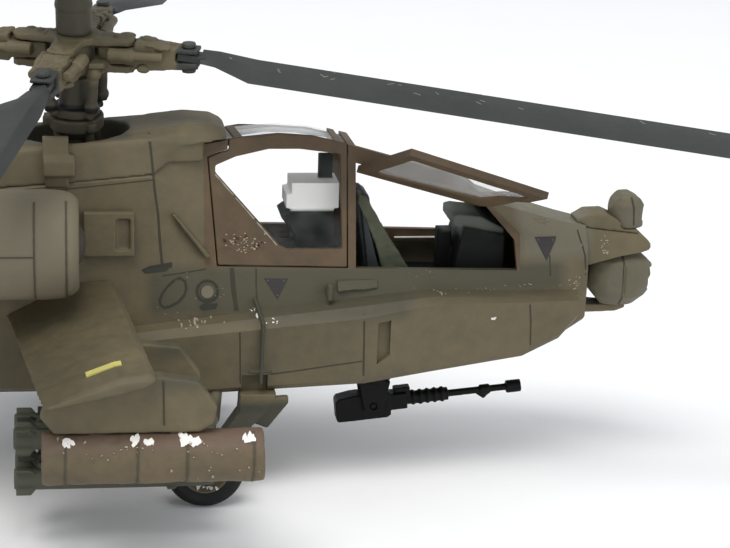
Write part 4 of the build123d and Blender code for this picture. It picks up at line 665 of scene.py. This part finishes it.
def door_highlight_and_sensor_seams():
    """Painted highlight as a pale strip along the slanted side of the rear door window, and seams of the
    sensor drum.
    """
    bm = bmesh.new()
    door = Skin("rear_door_frame")
    # Painted highlight: a pale strip in the bare plastic colour along the window's slanted edge.
    for start, end in ((0.03, 0.3), (0.34, 0.62), (0.66, 0.97)):
        a, b = Vector((15.5, 36.5)), Vector((23.05, 27.95))
        strip(bm, door, [a.lerp(b, start), a.lerp(b, end)], 0.12, jitter=0.5, seed=int(start * 90), step=0.4)
    new_mesh("door_edge_painted_highlight", bm, "bare_plastic", "rear_door")
    for side, word in SIDES:
        bm = bmesh.new()
        strip(bm, Skin("sensor_turret", side=side), [(64.9, 19.2), (64.95, 22.5), (64.9, 26.0)], 0.22,
              lift=0.05, step=0.35)
        new_mesh("sensor_seam_" + word, bm, "line_dark", "day_sensor")
        bm = bmesh.new()
        strip(bm, Skin("night_sensor", side=side), [(66.3, 29.2), (66.2, 31.2), (65.9, 32.6)], 0.2, lift=0.05,
              step=0.35)
        new_mesh("night_seam_" + word, bm, "line_dark", "night_sight")


def hub_clutter():
    """Runs and clots of thick paint with half-hidden link ends, stuck on the rotor head arms."""
    rng = random.Random(5)
    spin = JOINTS["main_rotor_spin"]
    hub = Vector(spin["pos_m"]) + Vector(spin["axis"]).normalized() * (ARM_HEIGHT * MM)
    arms = Skin("rotor_hub", "blade_cuffs", "lag_dampers")
    bm = bmesh.new()
    for index in range(4):
        azimuth = math.radians(ROTOR_AZIMUTH + 90 * index)
        for _ in range(26):
            reach, side = rng.uniform(2.6, 11.8), rng.uniform(-1.6, 1.6)
            flat = Vector((reach * math.cos(azimuth) - side * math.sin(azimuth),
                           reach * math.sin(azimuth) + side * math.cos(azimuth), 0)) * MM
            below = rng.random() < 0.35
            start = hub + flat + Vector((0, 0, -0.02 if below else 0.02))
            place, normal, _, _ = arms.tree.ray_cast(start, Vector((0, 0, 1 if below else -1)))
            if place is None:
                continue
            size = rng.uniform(0.4, 0.8)
            centre = place - normal * (size * 0.25 * MM)
            ball = bmesh.ops.create_icosphere(bm, subdivisions=2, radius=size * MM)["verts"]
            stretch = Vector((rng.uniform(0.9, 1.9), rng.uniform(0.6, 1.1), rng.uniform(0.5, 0.8)))
            turn = Matrix.Rotation(azimuth + rng.uniform(-0.7, 0.7), 3, "Z")
            for v in ball:
                v.co = centre + turn @ Vector([c * k for c, k in zip(v.co, stretch)])
    obj = new_mesh("hub_clutter", bm, "olive_paint", "main_rotor")
    melt(obj, 0.12, 3, 0.2, 1.2)


def cockpit_trim():
    """White strip along the edge of the port sill with a lever, seen across the front cockpit."""
    bm = bmesh.new()
    for low, high in (((38.4, 5.35, 25.75), (46.2, 5.6, 25.95)), ((43.6, 5.1, 25.9), (44.9, 5.5, 26.35))):
        box = bmesh.ops.create_cube(bm, size=1.0)["verts"]
        a, b = st(*low), st(*high)
        for v in box:
            v.co = Vector([a[k] + (b[k] - a[k]) * (v.co[k] + 0.5) for k in range(3)])
    obj = new_mesh("sill_edge_left", bm, "chip_white", "airframe")
    bevel = obj.modifiers.new("edge", "BEVEL")
    bevel.width, bevel.segments = 0.05 * MM, 2


# how each small casting is melted: voxel in millimetres, smoothing rounds, height of the lumps
CAST = {
    "rotor_hub": (0.14, 4, 0.22), "blade_cuffs": (0.14, 4, 0.25), "pitch_links": (0.1, 3, 0.12),
    "lag_dampers": (0.12, 3, 0.15), "rotor_shaft": (0.14, 4, 0.15), "static_mast": (0.14, 3, 0.15),
    "blade_pins": (0.1, 2, 0.08), "mast_drum": (0.14, 3, 0.0), "transmission_cowl": (0.2, 3, 0.0),
    "sensor_turret": (0.13, 5, 0.1), "night_sensor": (0.12, 5, 0.1), "sensor_mounts": (0.12, 4, 0.12),
    "gun": (0.1, 2, 0.05), "gun_turret": (0.12, 2, 0.05), "pylons": (0.16, 4, 0.12),
    "missiles": (0.1, 2, 0.0), "missile_racks": (0.12, 2, 0.06), "main_legs": (0.14, 4, 0.12),
    "shock_struts": (0.12, 2, 0.0), "gunner_console": (0.12, 5, 0.1), "pilot_console": (0.12, 2, 0.0),
    "seat_harnesses": (0.1, 3, 0.5), "gunner_seat": (0.12, 4, 0.1), "pilot_seat": (0.12, 4, 0.1),
    "boarding_steps": (0.1, 2, 0.08), "wing_right": (0.2, 5, 0.1), "wing_left": (0.2, 5, 0.1),
    "nacelles": (0.24, 4, 0.1), "rocket_pods": (0.14, 3, 0.26), "side_fittings": (0.14, 3, 0.1),
}


def finish_nodes():
    """Give every CAD node its material, and soften or melt its edges."""
    slot_of = {part["node"]: part["material_slot"] for part in frame["record"]["subparts"]}
    for name, node in NODES.items():
        finish = "scuffed_plastic" if name == "front_door_glass" else slot_of[name]
        node.data.materials.clear()
        node.data.materials.append(MATERIALS[finish])
        if name in CAST:
            melt(node, *CAST[name])
        else:
            soften(node)


build_studio()
place_camera()
MATERIALS = {name: Paint(name, **facts).material for name, facts in {**PAINTS, **TRIM}.items()}
MATERIALS["clear_plastic"] = glass_material("clear_plastic_pane", 0.002, 0.024).material
MATERIALS["scuffed_plastic"] = glass_material("scuffed_pane", 0.16, 0.3).material
panel_lines()
nacelle_bands()
pod_bands()
warning_marks()
worn_places()
blade_scratches()
door_highlight_and_sensor_seams()
hub_clutter()
cockpit_trim()
finish_nodes()
